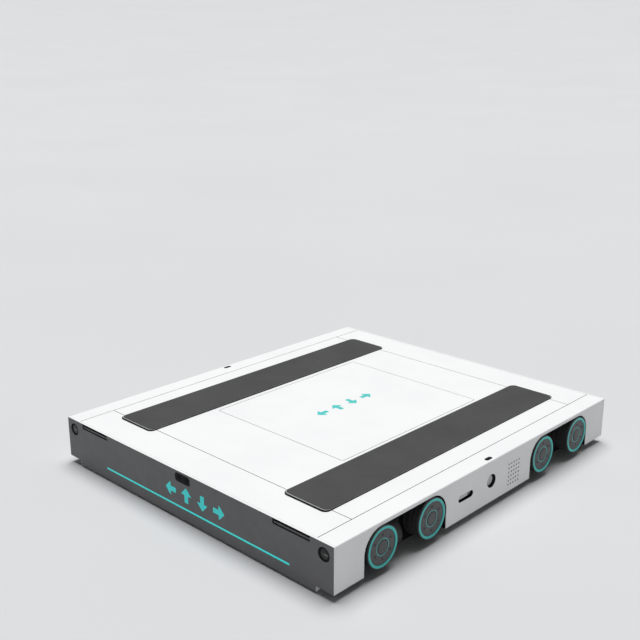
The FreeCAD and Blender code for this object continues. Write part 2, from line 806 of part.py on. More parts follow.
def lift_drive():
    """Add the four lift screws, the motor, its pulley and the belt round all five."""
    bottom = tray_top + d.free_gap
    gear = bottom + d.column_plate
    gear_height = d.lift_pulley_width
    screw = turned([(0, 0), (0, d.screw_pivot_radius), (d.column_plate, d.screw_pivot_radius),
                    (d.column_plate, d.screw_pulley_radius),
                    (d.column_plate + gear_height, d.screw_pulley_radius),
                    (d.column_plate + gear_height, d.screw_radius),
                    (column_top - bottom, d.screw_radius), (column_top - bottom, 0)])
    for number, (x, y) in enumerate(screw_places, start=1):
        node(f"lift_screw_{number}", placed(screw, x, y, bottom, "+z"))

    centre = (0, -lift_motor_y)
    half = d.lift_motor_radius + d.motor_shaft_radius / 2
    plate_z = (shelf_z, shelf_z + d.lift_motor_plate)
    pieces = [box(both(half), around(-lift_motor_y, half), plate_z),
              bar("z", d.lift_motor_radius, (shelf_z, plate_z[1] + d.lift_motor_height), centre)]
    for across in (-1, 1):
        for along in (-1, 1):
            post = d.column_post / 2
            pieces.append(box(around(across * (half - post), post),
                              around(along * (half - post) - lift_motor_y, post), (tray_top, shelf_z)))
    bore = bar("z", d.motor_shaft_radius + d.running_fit,
               (shelf_z, shelf_z + d.motor_shaft_depth + d.free_gap), centre)
    node("lift_motor", cut(fuse(*pieces), bore))
    node("lift_pulley", fuse(bar("z", d.lift_pulley_radius, (gear, gear + gear_height), centre),
                             bar("z", d.motor_shaft_radius, (gear, shelf_z + d.motor_shaft_depth), centre)))

    ring = [(0, -lift_motor_y, d.lift_pulley_radius)]
    ring += [(x, y, d.screw_pulley_radius) for x, y in screw_places]
    strip = gear_height - 2 * d.belt_side_gap
    place = Placement(Vector(0, 0, (gear + d.belt_side_gap).value), Rotation())
    node("lift_belt", belt(ring, strip, place))


def lift_frame():
    """Add the frame that carries the two lift pads, and the pads on it."""
    pieces = []
    bores = []
    seat = top + d.free_gap
    for side in (-1, 1):
        bar_x = around(side * lift_x, bar_half)
        pieces.append(box(bar_x, both(bar_end), (bar_bottom, seat)))
        web_x = around(side * (lift_x - bar_half + d.web_thick / 2), d.web_thick / 2)
        pieces.append(box(web_x, (yoke_places[0] - d.yoke_width / 2, yoke_places[1] + d.yoke_width / 2),
                          (yoke_bottom, seat)))
    for y in yoke_places:
        pieces.append(box(both(lift_x - bar_half + d.web_thick), around(y, d.yoke_width / 2),
                          (yoke_bottom, yoke_bottom + d.yoke_depth)))
    for place in screw_places:
        pieces.append(bar("z", d.nut_tube_radius, (tube_bottom, bar_bottom), place))
        bores.append(bar("z", d.screw_radius + d.free_gap, (tube_bottom, bar_bottom), place))
        bores.append(bar("z", d.nut_tube_bore, (tube_bottom + d.nut_length, bar_bottom), place))
    node("lift_frame", cut(fuse(*pieces), *bores))

    pad = plate(d.pad_width, 2 * pad_end, d.pad_thick, d.pad_corner, d.pad_chamfer)
    half = d.pad_width / 2
    node("lift_pad_right", placed(pad, lift_x - half, -pad_end, seat))
    node("lift_pad_left", placed(pad, -lift_x - half, -pad_end, seat))


def carrier(driven):
    """Return a cross-travel carrier as it stands at the front; one carrier also holds the motor plate."""
    beam_y = around(-cross_y, d.beam_width / 2)
    pieces = [box(both(fork_x), beam_y, (beam_bottom, beam_bottom + d.beam_depth))]
    holes = []
    for side in (-1, 1):
        tip = side * (fork_x + cross_x + d.fork_reach) / 2
        fork_span = around(tip, (cross_x + d.fork_reach - fork_x) / 2)
        for face in (-(fork_out - d.fork_wall / 2), -(fork_in + d.fork_wall / 2)):
            pieces.append(box(fork_span, around(face, d.fork_wall / 2), (cross_z - d.fork_foot, fork_top)))
        pieces.append(box(fork_span, (-fork_out, -fork_in), (fork_top - d.fork_plate, fork_top)))
        pieces.append(box(around(side * (fork_x + d.fork_end / 2), d.fork_end / 2), (-fork_out, -fork_in),
                          (cross_belt_top + d.fork_belt_gap, fork_top)))
        pieces.append(bar("y", d.pin_radius, (-fork_out, -fork_in), (side * cross_x, cross_z)))
        pieces.append(bar("z", d.rod_radius, (rod_bottom, beam_bottom), (side * actuator_x, -cross_y)))
        holes.append(bar("z", d.pin_radius + d.running_fit, (beam_bottom, beam_bottom + d.beam_depth),
                         (side * guide_x, -cross_y)))
    if driven:
        plate_x = around(cross_motor_x, d.motor_plate_half)
        plate_y = (-fork_out, -fork_out + d.fork_wall)
        beam_top = beam_bottom + d.beam_depth
        pieces.append(box(plate_x, plate_y, (cross_z - cross_motor_radius, beam_top)))
        pieces.append(box(plate_x, (-fork_out, beam_y[0]), (beam_top - d.shelf_depth, beam_top)))
        holes.append(bar("y", d.cross_shaft_radius + d.free_gap, plate_y, (cross_motor_x, cross_z)))
    return cut(fuse(*pieces), *holes)


def cross_travel():
    """Add the two carriers, their wheels, the drive of the front one, the guides and the actuators."""
    node("cross_carrier_front", carrier(driven=True))
    node("cross_carrier_rear", half_turn(carrier(driven=False)))

    rim = cross_radius - d.cross_wheel_chamfer
    bore = d.pin_radius + d.running_fit
    width = d.cross_wheel_width
    far = width + d.cross_pulley_width
    roller = turned([(0, bore), (0, rim), (d.cross_wheel_chamfer, cross_radius),
                     (width - d.cross_wheel_chamfer, cross_radius), (width, rim),
                     (width, d.cross_pulley_radius), (far, d.cross_pulley_radius), (far, bore)])
    near = cross_y - width / 2
    for end, aim, along in (("front", "-y", -1), ("rear", "+y", 1)):
        for side, across in (("right", 1), ("left", -1)):
            node(f"cross_wheel_{end}_{side}", placed(roller, across * cross_x, along * near, cross_z, aim))

    gear_y = (-(near + far), -(near + width))
    spot = (cross_motor_x, cross_z)
    motor_y = (-(fork_out + d.cross_motor_length), -fork_out)
    spindle_end = -(fork_out + d.motor_shaft_depth)
    node("cross_pulley", fuse(bar("y", d.cross_motor_pulley_radius, gear_y, spot),
                              bar("y", d.cross_shaft_radius, (spindle_end, gear_y[1]), spot)))
    node("cross_motor", cut(bar("y", cross_motor_radius, motor_y, spot),
                            bar("y", d.cross_shaft_radius + d.running_fit,
                                (spindle_end - d.free_gap, -fork_out), spot)))
    circles = [(cross_motor_x, cross_z, d.cross_motor_pulley_radius),
               (cross_x, cross_z, d.cross_pulley_radius)]
    strip = d.cross_pulley_width - 2 * d.belt_side_gap
    turn = Rotation(Vector(1, 0, 0), Vector(0, 0, 1), Vector(0, -1, 0), "ZXY")
    place = Placement(Vector(0, (gear_y[1] - d.belt_side_gap).value, 0), turn)
    node("cross_belt", belt(circles, strip, place))

    guides = []
    barrels = []
    barrel_top = beam_bottom - d.actuator_top_gap
    for along in (-1, 1):
        for across in (-1, 1):
            guides.append(bar("z", d.pin_radius, (tray_top, bar_bottom - d.beam_head_gap),
                              (across * guide_x, along * cross_y)))
            place = (across * actuator_x, along * cross_y)
            barrel = bar("z", d.actuator_radius, (tray_top, barrel_top), place)
            bore = bar("z", d.rod_radius + d.free_gap, (rod_bottom - d.free_gap, barrel_top), place)
            barrels.append(cut(barrel, bore))
    node("carrier_guides", group(*guides))
    node("change_actuators", group(*barrels))


def equipment():
    """Add the battery, the control box, the drive amplifier and the code reader."""
    node("battery_pack", group(box(both(lift_x - bar_half - d.battery_side_gap), battery_y,
                                   (tray_top, yoke_bottom - d.battery_top_gap))))
    box_y = (-(tray_y - d.tray_wall - d.box_wall_gap), -(seam_y + d.rib_thick / 2 + d.box_wall_gap))
    box_z = (tray_top, tray_top + d.box_height)
    far_x = tray_x - d.box_side_gap
    node("control_box", group(box((-far_x, -d.box_mid_gap), box_y, box_z)))
    node("drive_amplifier", group(box((d.box_mid_gap, far_x), box_y, box_z)))
    reader = box(around(-d.reader_x, d.reader_size / 2), around(travel_y, d.reader_size / 2),
                 (tray_top, tray_top + d.reader_height))
    lens = bar("z", d.reader_lens_radius, (belly + d.light_recess, tray_top), (-d.reader_x, travel_y))
    node("code_reader", fuse(reader, lens))


def check_objects():
    """Stop if any object failed or any sub-part has no sound shape."""
    for item in doc.Objects:
        if "Invalid" in item.State or "Error" in item.State:
            raise RuntimeError(f"{item.Name} failed: {item.State}")
    for label, item in nodes.items():
        if item.Shape.isNull() or not item.Shape.isValid() or not item.Shape.Solids:
            raise RuntimeError(f"{label} has no sound shape")


doc = FreeCAD.newDocument("ShuttleRobot")
d = make_sheet()
nodes = {}

# Heights.
belly = d.floor_gap
tray_top = belly + d.tray_floor
side_bottom = belly + d.belly_drop
top = side_bottom + d.panel_height
deck_under = top - d.deck_thick

# Outer limits and seams.
half_length = d.body_length / 2
half_width = d.body_width / 2
tray_x = half_width - d.side_width
tray_y = half_length - d.panel_thick
seam_y = half_length - d.end_cover_depth

# Travel wheels and wells.
wheel_radius = (d.panel_height - d.well_head - d.well_top_gap) / 2
wheel_z = side_bottom + wheel_radius
wheel_out = half_width + d.wheel_proud
wheel_in = wheel_out - d.wheel_width
outer_wheel_y = half_length - d.outer_wheel_inset
inner_wheel_y = outer_wheel_y - d.wheel_pitch
well_near = inner_wheel_y - wheel_radius - d.well_side_gap
well_far = outer_wheel_y + wheel_radius + d.well_side_gap

# Lift pads, frame and columns.
lift_x = tray_x - d.pad_inset - d.pad_width / 2
lift_y = inner_wheel_y - d.column_setback
pad_end = seam_y + d.pad_overhang
bar_half = d.pad_width / 2 - d.bar_inset
bar_end = pad_end - d.bar_end_inset
bar_bottom = top - d.bar_depth
hatch_half = lift_x - d.pad_width / 2 - d.hatch_margin
screw_places = [(lift_x, -lift_y), (lift_x, lift_y), (-lift_x, lift_y), (-lift_x, -lift_y)]
shelf_z = tray_top + d.column_plate + d.lift_pulley_width + d.post_head_gap
column_top = bar_bottom - d.column_top_gap
tube_bottom = shelf_z + d.column_shelf + d.nut_tube_gap
yoke_bottom = deck_under - d.lift_travel - d.yoke_head_gap - d.yoke_depth
lift_motor_y = lift_y + d.lift_motor_offset

# Travel drive and what stands beside it.
travel_y = inner_wheel_y - d.travel_centres
pulley_x = lift_x - bar_half - d.pulley_clearance - d.pulley_width
battery_y = (-(lift_motor_y - d.lift_motor_radius - d.battery_front_gap),
             travel_y - d.travel_motor_radius - d.motor_gap)
yoke_reach = d.yoke_side_gap + d.yoke_width / 2
yoke_places = (d.lift_motor_radius - lift_motor_y + yoke_reach,
               travel_y - d.travel_motor_radius - yoke_reach)

# Cross-travel carriers.
cross_x = tray_x - d.cross_inset
cross_y = outer_wheel_y - d.wheel_pitch / 2
fork_top = deck_under - d.carrier_travel - d.fork_head_gap
cross_radius = (fork_top - d.fork_plate - d.fork_wheel_gap) / 2
cross_z = cross_radius
cross_belt_top = cross_z + d.cross_pulley_radius + d.free_gap + d.belt_thick
cross_motor_radius = cross_z - tray_top - d.cross_motor_gap
fork_in = cross_y - d.cross_wheel_width / 2 - d.fork_side_gap - d.fork_wall
fork_out = cross_y + d.cross_wheel_width / 2 + d.cross_pulley_width + d.fork_side_gap + d.fork_wall
fork_x = cross_x - cross_radius - d.fork_end_gap - d.fork_end
fork_cut = tray_x - fork_x + d.tray_cut_gap
beam_bottom = bar_bottom - d.carrier_travel - d.beam_head_gap - d.beam_depth
rod_bottom = tray_top + d.rod_foot
guide_x = fork_x - d.guide_inset
actuator_x = guide_x - d.actuator_inset
cross_motor_x = cross_x - d.cross_centres

# End panel and side openings.
range_z = top - d.range_window_drop
contact_z = (top - d.contact_top - d.contact_height, top - d.contact_top)
vision_z = (top - d.vision_top - d.vision_height, top - d.vision_top)
vision_floor = deck_under - d.vision_body_height - d.seam
light_bottom = side_bottom + d.light_rise
pallet_x = half_width - d.skin - d.pallet_skin_gap - d.pallet_collar_border - d.pallet_eye_width / 2
middle_z = side_bottom + d.panel_height / 2
port_z = middle_z - d.port_drop
button_z = middle_z + d.button_raise
grille_z = middle_z - d.grille_drop
housing_radius = d.button_radius + d.button_wall
rib_edge = well_near - d.well_rib
port_mid = (d.mid_offset - housing_radius - rib_edge) / 2 - d.port_offset
grille_mid = (d.mid_offset + housing_radius + rib_edge) / 2 + d.grille_offset

base_tray()
side_beams()
covers()
end_panels()
pallet_sensors()
side_equipment()
travel_wheels()
travel_drive()
lift_columns()
lift_drive()
lift_frame()
cross_travel()
equipment()

doc.recompute()
check_objects()
os.makedirs("parts", exist_ok=True)
for label, item in nodes.items():
    item.Shape.exportStep(os.path.join("parts", f"{label}.step"))
print(f"{len(nodes)} sub-parts written")
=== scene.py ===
import json
import logging
import math
from abc import ABC, abstractmethod
from dataclasses import dataclass
from enum import Enum
from typing import Callable, Sequence

import bmesh
import bpy
import numpy as np
from mathutils import Matrix, Vector
from mathutils.geometry import delaunay_2d_cdt


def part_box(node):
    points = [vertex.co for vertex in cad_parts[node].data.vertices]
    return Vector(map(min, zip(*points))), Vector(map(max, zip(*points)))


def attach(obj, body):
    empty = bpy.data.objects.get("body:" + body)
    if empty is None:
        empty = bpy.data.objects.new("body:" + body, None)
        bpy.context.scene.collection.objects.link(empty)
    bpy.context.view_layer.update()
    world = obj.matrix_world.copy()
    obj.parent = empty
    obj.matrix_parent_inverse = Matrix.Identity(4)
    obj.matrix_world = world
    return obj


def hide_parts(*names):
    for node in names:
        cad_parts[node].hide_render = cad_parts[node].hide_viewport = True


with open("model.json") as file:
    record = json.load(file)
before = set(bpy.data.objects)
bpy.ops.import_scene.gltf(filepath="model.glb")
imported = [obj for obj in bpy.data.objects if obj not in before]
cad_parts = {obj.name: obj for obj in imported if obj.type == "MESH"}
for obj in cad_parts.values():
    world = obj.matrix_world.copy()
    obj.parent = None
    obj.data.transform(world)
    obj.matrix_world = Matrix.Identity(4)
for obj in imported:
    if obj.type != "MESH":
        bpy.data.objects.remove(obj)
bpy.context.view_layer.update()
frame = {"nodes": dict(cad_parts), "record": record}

# Dresses a four-way shuttle robot: painted shells, dark end panels, rubber lift pads and ringed wheels.
# Sizes are in millimetres in the part's own frame, and become metres as each mesh is made.

log = logging.getLogger("shuttle")

# A millimetre in metres, the distances in metres at which points are welded and slivers removed, and the
# angle from which an edge is sharp.
MM = 0.001
WELD = 2e-6
SLIVER = 2e-7
SHARP_ANGLE = math.radians(38)

# The triangle filler's mode that keeps what lies inside the outlines, and its tolerance.
CDT_INSIDE = 1
CDT_EPSILON = 1e-5

# The usual radius of a rolled edge, and how many radii its profile reaches onto the flat faces.
SHEET_ROLL = 0.8
ROLL_REACH = 1.5

X, Y, Z = range(3)

Colour = tuple[float, float, float]
Point = tuple[float, float, float]
Span = tuple[float, float]
Lay = Callable[[np.ndarray], np.ndarray]

# Corners of a profile to be turned, as (depth, radius, rounding), or of a flat outline, as (u, v, rounding).
Corners = tuple[Point, ...]


class Pattern(Enum):
    """Kinds of fine relief that a finish can have."""

    GRAINED = "grained"
    PEBBLED = "pebbled"
    BRUSHED = "brushed"


class End(Enum):
    """The two ends of the robot, by the sign of their place along Y."""

    FRONT = -1
    REAR = 1


class Side(Enum):
    """The two long sides of the robot, by the sign of their place along X."""

    RIGHT = 1
    LEFT = -1


class Way(Enum):
    """The four ways of travel, by the quarter turns of an arrow that points up, in the order of a row."""

    LEFT = 1
    FORWARD = 0
    BACK = 2
    RIGHT = 3


@dataclass(frozen=True)
class NodeBox:
    """The box that a node fills at rest, in millimetres to a hundredth."""

    low: Point
    high: Point

    @classmethod
    def of(cls, node: str) -> "NodeBox":
        """Return the box of a node of the frame."""
        low, high = (tuple(round(value / MM, 2) for value in corner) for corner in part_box(node))
        return cls(low, high)

    def span(self, axis: int) -> Span:
        """Return the box's two limits along an axis."""
        return self.low[axis], self.high[axis]

    def middle(self, axis: int) -> float:
        """Return the box's middle along an axis."""
        return round((self.low[axis] + self.high[axis]) / 2, 2)

    def size(self, axis: int) -> float:
        """Return the box's size along an axis."""
        return round(self.high[axis] - self.low[axis], 2)


TRAY_BOX = NodeBox.of("base_tray")
BEAM_BOX = NodeBox.of("side_beam_right")
PANEL_BOX = NodeBox.of("front_panel")
DECK_BOX = NodeBox.of("deck_cover")
HATCH_BOX = NodeBox.of("access_hatch")
COVER_BOX = NodeBox.of("rear_end_cover")
PAD_BOX = NodeBox.of("lift_pad_right")
WINDOW_BOX = NodeBox.of("vision_sensors")
WHEEL_BOX = NodeBox.of("travel_wheel_right_4")
CROSS_BOX = NodeBox.of("cross_wheel_rear_right")


@dataclass(frozen=True)
class Plane:
    """A place in the part's frame with two directions; depth runs along u × v."""

    origin: Point
    u: Point
    v: Point

    def lay(self, local: np.ndarray) -> np.ndarray:
        """Return points of (u, v, depth) in the part's frame: origin + u·U + v·V + depth·(U × V).

        Args:
            local: points on this plane, one a row.

        Returns:
            The same points in the part's frame.
        """
        axes = np.array([self.u, self.v, np.cross(self.u, self.v)], float)
        return np.asarray(self.origin, float) + local @ axes

    def moved(self, u: float, v: float, depth: float = 0.0) -> "Plane":
        """Return the same plane with its origin at a point of its own."""
        origin = self.lay(np.array([[u, v, depth]], float))[0]
        return Plane(tuple(origin), self.u, self.v)


GROUND = Plane((0, 0, 0), (1, 0, 0), (0, 1, 0))
DECK = GROUND.moved(0, 0, DECK_BOX.high[Z])
BELLY = Plane((0, 0, TRAY_BOX.low[Z]), (1, 0, 0), (0, -1, 0))
ENDS = {End.FRONT: Plane((0, PANEL_BOX.low[Y], 0), (1, 0, 0), (0, 0, 1)),
        End.REAR: Plane((0, -PANEL_BOX.low[Y], 0), (-1, 0, 0), (0, 0, 1))}
RIGHT_SIDE = Plane((BEAM_BOX.high[X], 0, 0), (0, 1, 0), (0, 0, 1))


@dataclass(frozen=True)
class Surface:
    """A mesh held as arrays: points, blocks of faces by point number, and how much each point is an edge."""

    points: np.ndarray
    faces: tuple[np.ndarray, ...]
    edge: np.ndarray

    def half_turned(self) -> "Surface":
        """Return the surface turned half way round the vertical middle line."""
        return Surface(self.points * (-1, -1, 1), self.faces, self.edge)


def joined(surfaces: Sequence[Surface]) -> Surface:
    """Return several surfaces as one.

    Args:
        surfaces: the surfaces to put together.

    Returns:
        One surface, with the face numbers of each moved past the points before it.
    """
    starts = np.cumsum([0] + [len(item.points) for item in surfaces])
    faces = tuple(block + start for item, start in zip(surfaces, starts) for block in item.faces)
    points = np.concatenate([item.points for item in surfaces])
    return Surface(points, faces, np.concatenate([item.edge for item in surfaces]))


def grid_faces(rows: int, columns: int, closed_rows: bool = False) -> np.ndarray:
    """Return the four-sided faces of a grid of points whose columns close on themselves.

    Args:
        rows: how many rings of points there are.
        columns: how many points each ring has.
        closed_rows: whether the last ring also joins the first.

    Returns:
        Point numbers, four a row: (ring, i), (ring, i + 1), (next ring, i + 1), (next ring, i).
    """
    ring = np.arange(rows if closed_rows else rows - 1)[:, None]
    column = np.arange(columns)[None, :]
    following = (ring + 1) % rows
    beside = (column + 1) % columns
    corners = [ring * columns + column, ring * columns + beside,
               following * columns + beside, following * columns + column]
    return np.stack(np.broadcast_arrays(*corners), axis=-1).reshape(-1, 4)


def about(half: float) -> Span:
    """Return the span from minus to plus a half size."""
    return -half, half


def around(middle: float, size: float) -> Span:
    """Return the span of a size about a middle."""
    return middle - size / 2, middle + size / 2


def shrunk(span: Span, gap: float) -> Span:
    """Return a span with a gap taken off at each end."""
    return span[0] + gap, span[1] - gap


def on_side(sign: int, limits: Span) -> Span:
    """Return the span between two limits on one side of the middle, from low to high."""
    low, high = sorted(sign * limit for limit in limits)
    return low, high


def rounded_corners(corners: Sequence[Point], steps: int = 8) -> np.ndarray:
    """Return a closed outline whose corners are arcs.

    Each corner is cut back by radius × tan(half its turn), and its arc is an even sweep of the turn
    about the point that lies one radius to the inside of the first cut.

    Args:
        corners: (u, v, radius) of each corner in order; a radius of 0 keeps the point as it is.
        steps: how many pieces each arc has.

    Returns:
        The outline's points of (u, v), in the same order.
    """
    table = np.asarray(corners, float)
    point, radius = table[:, :2], table[:, 2]
    into = point - np.roll(point, 1, axis=0)
    into /= np.linalg.norm(into, axis=1)[:, None]
    away = np.roll(into, -1, axis=0)
    turn = np.arctan2(into[:, 0] * away[:, 1] - into[:, 1] * away[:, 0], np.sum(into * away, axis=1))
    cut = radius * np.tan(np.abs(turn) / 2)
    hand = np.sign(turn)[:, None]
    inside = np.stack([-into[:, 1], into[:, 0]], axis=1) * hand
    start = point - into * cut[:, None]
    centre = start + inside * radius[:, None]
    first = np.arctan2(-inside[:, 1], -inside[:, 0])
    share = np.linspace(0, 1, steps + 1)
    angle = first[:, None] + turn[:, None] * share[None, :]
    arcs = centre[:, None, :] + radius[:, None, None] * np.stack([np.cos(angle), np.sin(angle)], axis=2)
    keep = (radius[:, None] > 0) | (share[None, :] == 0)
    arcs[radius == 0] = point[radius == 0][:, None, :]
    return arcs[keep]


def rectangle(u: Span, v: Span, radius: float, steps: int = 8) -> np.ndarray:
    """Return a rectangle with round corners, anticlockwise."""
    return rounded_corners([(u[0], v[0], radius), (u[1], v[0], radius),
                            (u[1], v[1], radius), (u[0], v[1], radius)], steps)


def stadium(u: Span, v: Span, steps: int = 12) -> np.ndarray:
    """Return a slot with fully round ends, anticlockwise.

    Each end is a half circle about the point that lies one radius inside it.

    Args:
        u: the span along the slot.
        v: the span across it.
        steps: how many pieces a quarter of a circle has.

    Returns:
        The outline's points of (u, v).
    """
    radius, middle = (v[1] - v[0]) / 2, (v[0] + v[1]) / 2
    angle = np.linspace(-np.pi / 2, np.pi / 2, 2 * steps + 1)
    half = radius * np.stack([np.cos(angle), np.sin(angle)], axis=1)
    return np.concatenate([(u[1] - radius, middle) + half, (u[0] + radius, middle) - half])


def circle(centre: Span, radius: float, count: int = 48) -> np.ndarray:
    """Return a circle as points at even angles, anticlockwise."""
    angle = np.linspace(0, 2 * np.pi, count, endpoint=False)
    return np.asarray(centre, float) + radius * np.stack([np.cos(angle), np.sin(angle)], axis=1)


@dataclass(frozen=True)
class Loop:
    """One closed edge of a sheet, with the material on its left, and the radius of its rolled edge."""

    outline: np.ndarray
    roll: float = SHEET_ROLL


def opening(outline: np.ndarray, roll: float = SHEET_ROLL) -> Loop:
    """Return the edge of an opening from its anticlockwise outline."""
    return Loop(outline[::-1], roll)


def inward(outline: np.ndarray) -> np.ndarray:
    """Return the step at each point that moves both neighbouring edges one unit to their left.

    It is the sum of the two edges' left normals, divided by one plus their dot product.

    Args:
        outline: points of (u, v) in order, closed.

    Returns:
        One step of (u, v) a point.
    """
    run = np.roll(outline, -1, axis=0) - outline
    run /= np.linalg.norm(run, axis=1)[:, None]
    left = np.stack([-run[:, 1], run[:, 0]], axis=1)
    before = np.roll(left, 1, axis=0)
    return (before + left) / (1 + np.sum(before * left, axis=1))[:, None]


def rolled_edge(roll: float, thick: float, steps: int = 4) -> np.ndarray:
    """Return the profile of a sheet's edge, from its outer face over two quarter rounds to its back.

    Args:
        roll: radius of the two rounds.
        thick: thickness of the sheet.
        steps: how many pieces each round has.

    Returns:
        Rows of (inset, depth, edge value); the first and last lie flat on the faces.
    """
    turn = np.linspace(0, np.pi / 2, steps + 1)
    front = np.stack([roll * (1 - np.sin(turn)), roll * (np.cos(turn) - 1), np.sin(2 * turn)], axis=1)
    back = front[::-1] * (1, -1, 1) - (0, thick, 0)
    flat = np.array([[ROLL_REACH * roll, 0, 0]])
    return np.concatenate([flat, front, back, flat - (0, thick, 0)])


def within(places: np.ndarray, rings: Sequence[np.ndarray]) -> np.ndarray:
    """Return which places lie inside an odd number of closed rings.

    A line from the place along the first direction crosses the rings' edges an odd number of times.

    Args:
        places: points of (u, v).
        rings: closed outlines.

    Returns:
        One truth value a place.
    """
    start = np.concatenate(rings)
    end = np.concatenate([np.roll(ring, -1, axis=0) for ring in rings])
    u, v = places[:, :1], places[:, 1:]
    spans = (start[:, 1] > v) != (end[:, 1] > v)
    rise = np.where(end[:, 1] == start[:, 1], 1.0, end[:, 1] - start[:, 1])
    crossing = start[:, 0] + (v - start[:, 1]) * (end[:, 0] - start[:, 0]) / rise
    return np.sum(spans & (u < crossing), axis=1) % 2 == 1


def filled(rings: Sequence[np.ndarray], creases: np.ndarray | None) -> tuple[np.ndarray, np.ndarray]:
    """Return the flat face between closed rings.

    A triangulation that keeps the rings and creases as edges covers the whole, and the triangles whose
    middle lies inside an odd number of rings stay.

    Args:
        rings: the outer edge and the edges of the openings.
        creases: rows of (u, v, u, v), lines that the triangles may not cross.

    Returns:
        Points of (u, v), and triangles of point numbers, anticlockwise.
    """
    starts = np.cumsum([0] + [len(ring) for ring in rings])
    corners, links = list(rings), []
    for ring, start in zip(rings, starts):
        number = np.arange(len(ring))
        links.append(np.stack([start + number, start + (number + 1) % len(ring)], axis=1))
    if creases is not None:
        corners.append(creases.reshape(-1, 2))
        links.append(starts[-1] + np.arange(2 * len(creases)).reshape(-1, 2))
    vectors = [Vector(row) for row in np.concatenate(corners).tolist()]
    net = delaunay_2d_cdt(vectors, np.concatenate(links).tolist(), [], CDT_INSIDE, CDT_EPSILON)
    points = np.array([tuple(row) for row in net[0]], float)
    triangles = np.array(net[2], int)
    triangles = triangles[within(points[triangles].mean(axis=1), rings)]
    a, b, c = (points[triangles[:, corner]] for corner in range(3))
    area = (b - a)[:, 0] * (c - a)[:, 1] - (b - a)[:, 1] * (c - a)[:, 0]
    return points, np.where(area[:, None] > 0, triangles, triangles[:, ::-1])


def sheet(loops: Sequence[Loop], thick: float, lay: Lay, creases: np.ndarray | None = None) -> Surface:
    """Return a closed sheet with openings, all of whose edges are rolled.

    The edge profile is carried along every loop, and the two faces are filled with triangles between
    the innermost rings.

    Args:
        loops: the outer edge, anticlockwise, and the openings, clockwise.
        thick: thickness of the sheet.
        lay: puts points of (u, v, depth) in the part's frame; the outer face is at depth 0.
        creases: rows of (u, v, u, v), lines that the faces may not cross.

    Returns:
        The surface, with its edge values.
    """
    points, faces, edge, rings = [], [], [], []
    start = 0
    for loop in loops:
        profile = rolled_edge(loop.roll, thick)
        count = len(loop.outline)
        flat = loop.outline[None] + inward(loop.outline)[None] * profile[:, 0, None, None]
        depth = np.broadcast_to(profile[:, 1, None, None], flat.shape[:2] + (1,))
        points.append(np.concatenate([flat, depth], axis=2).reshape(-1, 3))
        faces.append(grid_faces(len(profile), count)[:, ::-1] + start)
        edge.append(np.repeat(profile[:, 2], count))
        start += len(profile) * count
        rings.append(flat[0])
    cap, triangles = filled(rings, creases)
    for depth, order in ((0.0, triangles), (-thick, triangles[:, ::-1])):
        points.append(np.concatenate([cap, np.full((len(cap), 1), depth)], axis=1))
        faces.append(order + start)
        edge.append(np.zeros(len(cap)))
        start += len(cap)
    return Surface(lay(np.concatenate(points)), tuple(faces), np.concatenate(edge))


def plate(outline: np.ndarray, roll: float, thick: float, plane: Plane) -> Surface:
    """Return a sheet with no openings, its outer face on a plane."""
    return sheet([Loop(outline, roll)], thick, plane.lay)


def lathe(profile: np.ndarray, plane: Plane, count: int = 96, ring: bool = False) -> Surface:
    """Return a turned surface: a profile of (along, radius) carried round an axis.

    A point is (radius·cos t, radius·sin t, along). The profile runs from the back, round the outside,
    to the front.

    Args:
        profile: rows of (along, radius).
        plane: its origin is on the axis, which runs along its depth.
        count: how many steps the turn has.
        ring: whether the profile closes on itself instead of ending on the axis.

    Returns:
        The surface, with no edge values.
    """
    angle = np.linspace(0, 2 * np.pi, count, endpoint=False)
    along, radius = profile[:, :1], profile[:, 1:]
    local = np.stack(np.broadcast_arrays(radius * np.cos(angle), radius * np.sin(angle), along), axis=2)
    points = plane.lay(local.reshape(-1, 3))
    return Surface(points, (grid_faces(len(profile), count, ring),), np.zeros(len(points)))


def turned(corners: Sequence[Point], plane: Plane, count: int, ring: bool = False, steps: int = 4) -> Surface:
    """Return a turned piece from its profile's corners of (along, radius, rounding)."""
    return lathe(rounded_corners(corners, steps), plane, count, ring)


def lens_profile(back: float, rim: float, rise: float, radius: float, steps: int) -> np.ndarray:
    """Return the profile of a lens: a short cylinder under a quarter of an ellipse.

    Args:
        back: where its flat back lies along the axis.
        rim: where the dome starts.
        rise: how far the dome rises.
        radius: radius of the lens.
        steps: how many pieces the dome has.

    Returns:
        Rows of (along, radius), from the back to the tip.
    """
    angle = np.linspace(np.pi / 2, 0, steps + 1)
    dome = np.stack([rim + rise * np.cos(angle), radius * np.sin(angle)], axis=1)
    return np.concatenate([[(back, 0), (back, radius)], dome])


@dataclass(frozen=True)
class ScrewHead:
    """A low screw head with a round recess.

    Root is how deep it sits, and side, crown, mouth, floor and depth are shares of its height or radius.
    """

    radius: float
    height: float
    root: float = 1.0
    side: float = 0.5
    crown: float = 0.8
    mouth: float = 0.45
    floor: float = 0.38
    depth: float = 0.6
    steps: int = 12

    def on(self, plane: Plane) -> Surface:
        """Return the head, turned from a profile of seven points.

        Args:
            plane: the surface that it stands on, with its origin at the head's middle.

        Returns:
            The head.
        """
        r, h = self.radius, self.height
        profile = [(-self.root, 0), (-self.root, r), (h * self.side, r), (h, r * self.crown),
                   (h, r * self.mouth), (-h * self.depth, r * self.floor), (-h * self.depth, 0)]
        return lathe(np.array(profile), plane, self.steps)


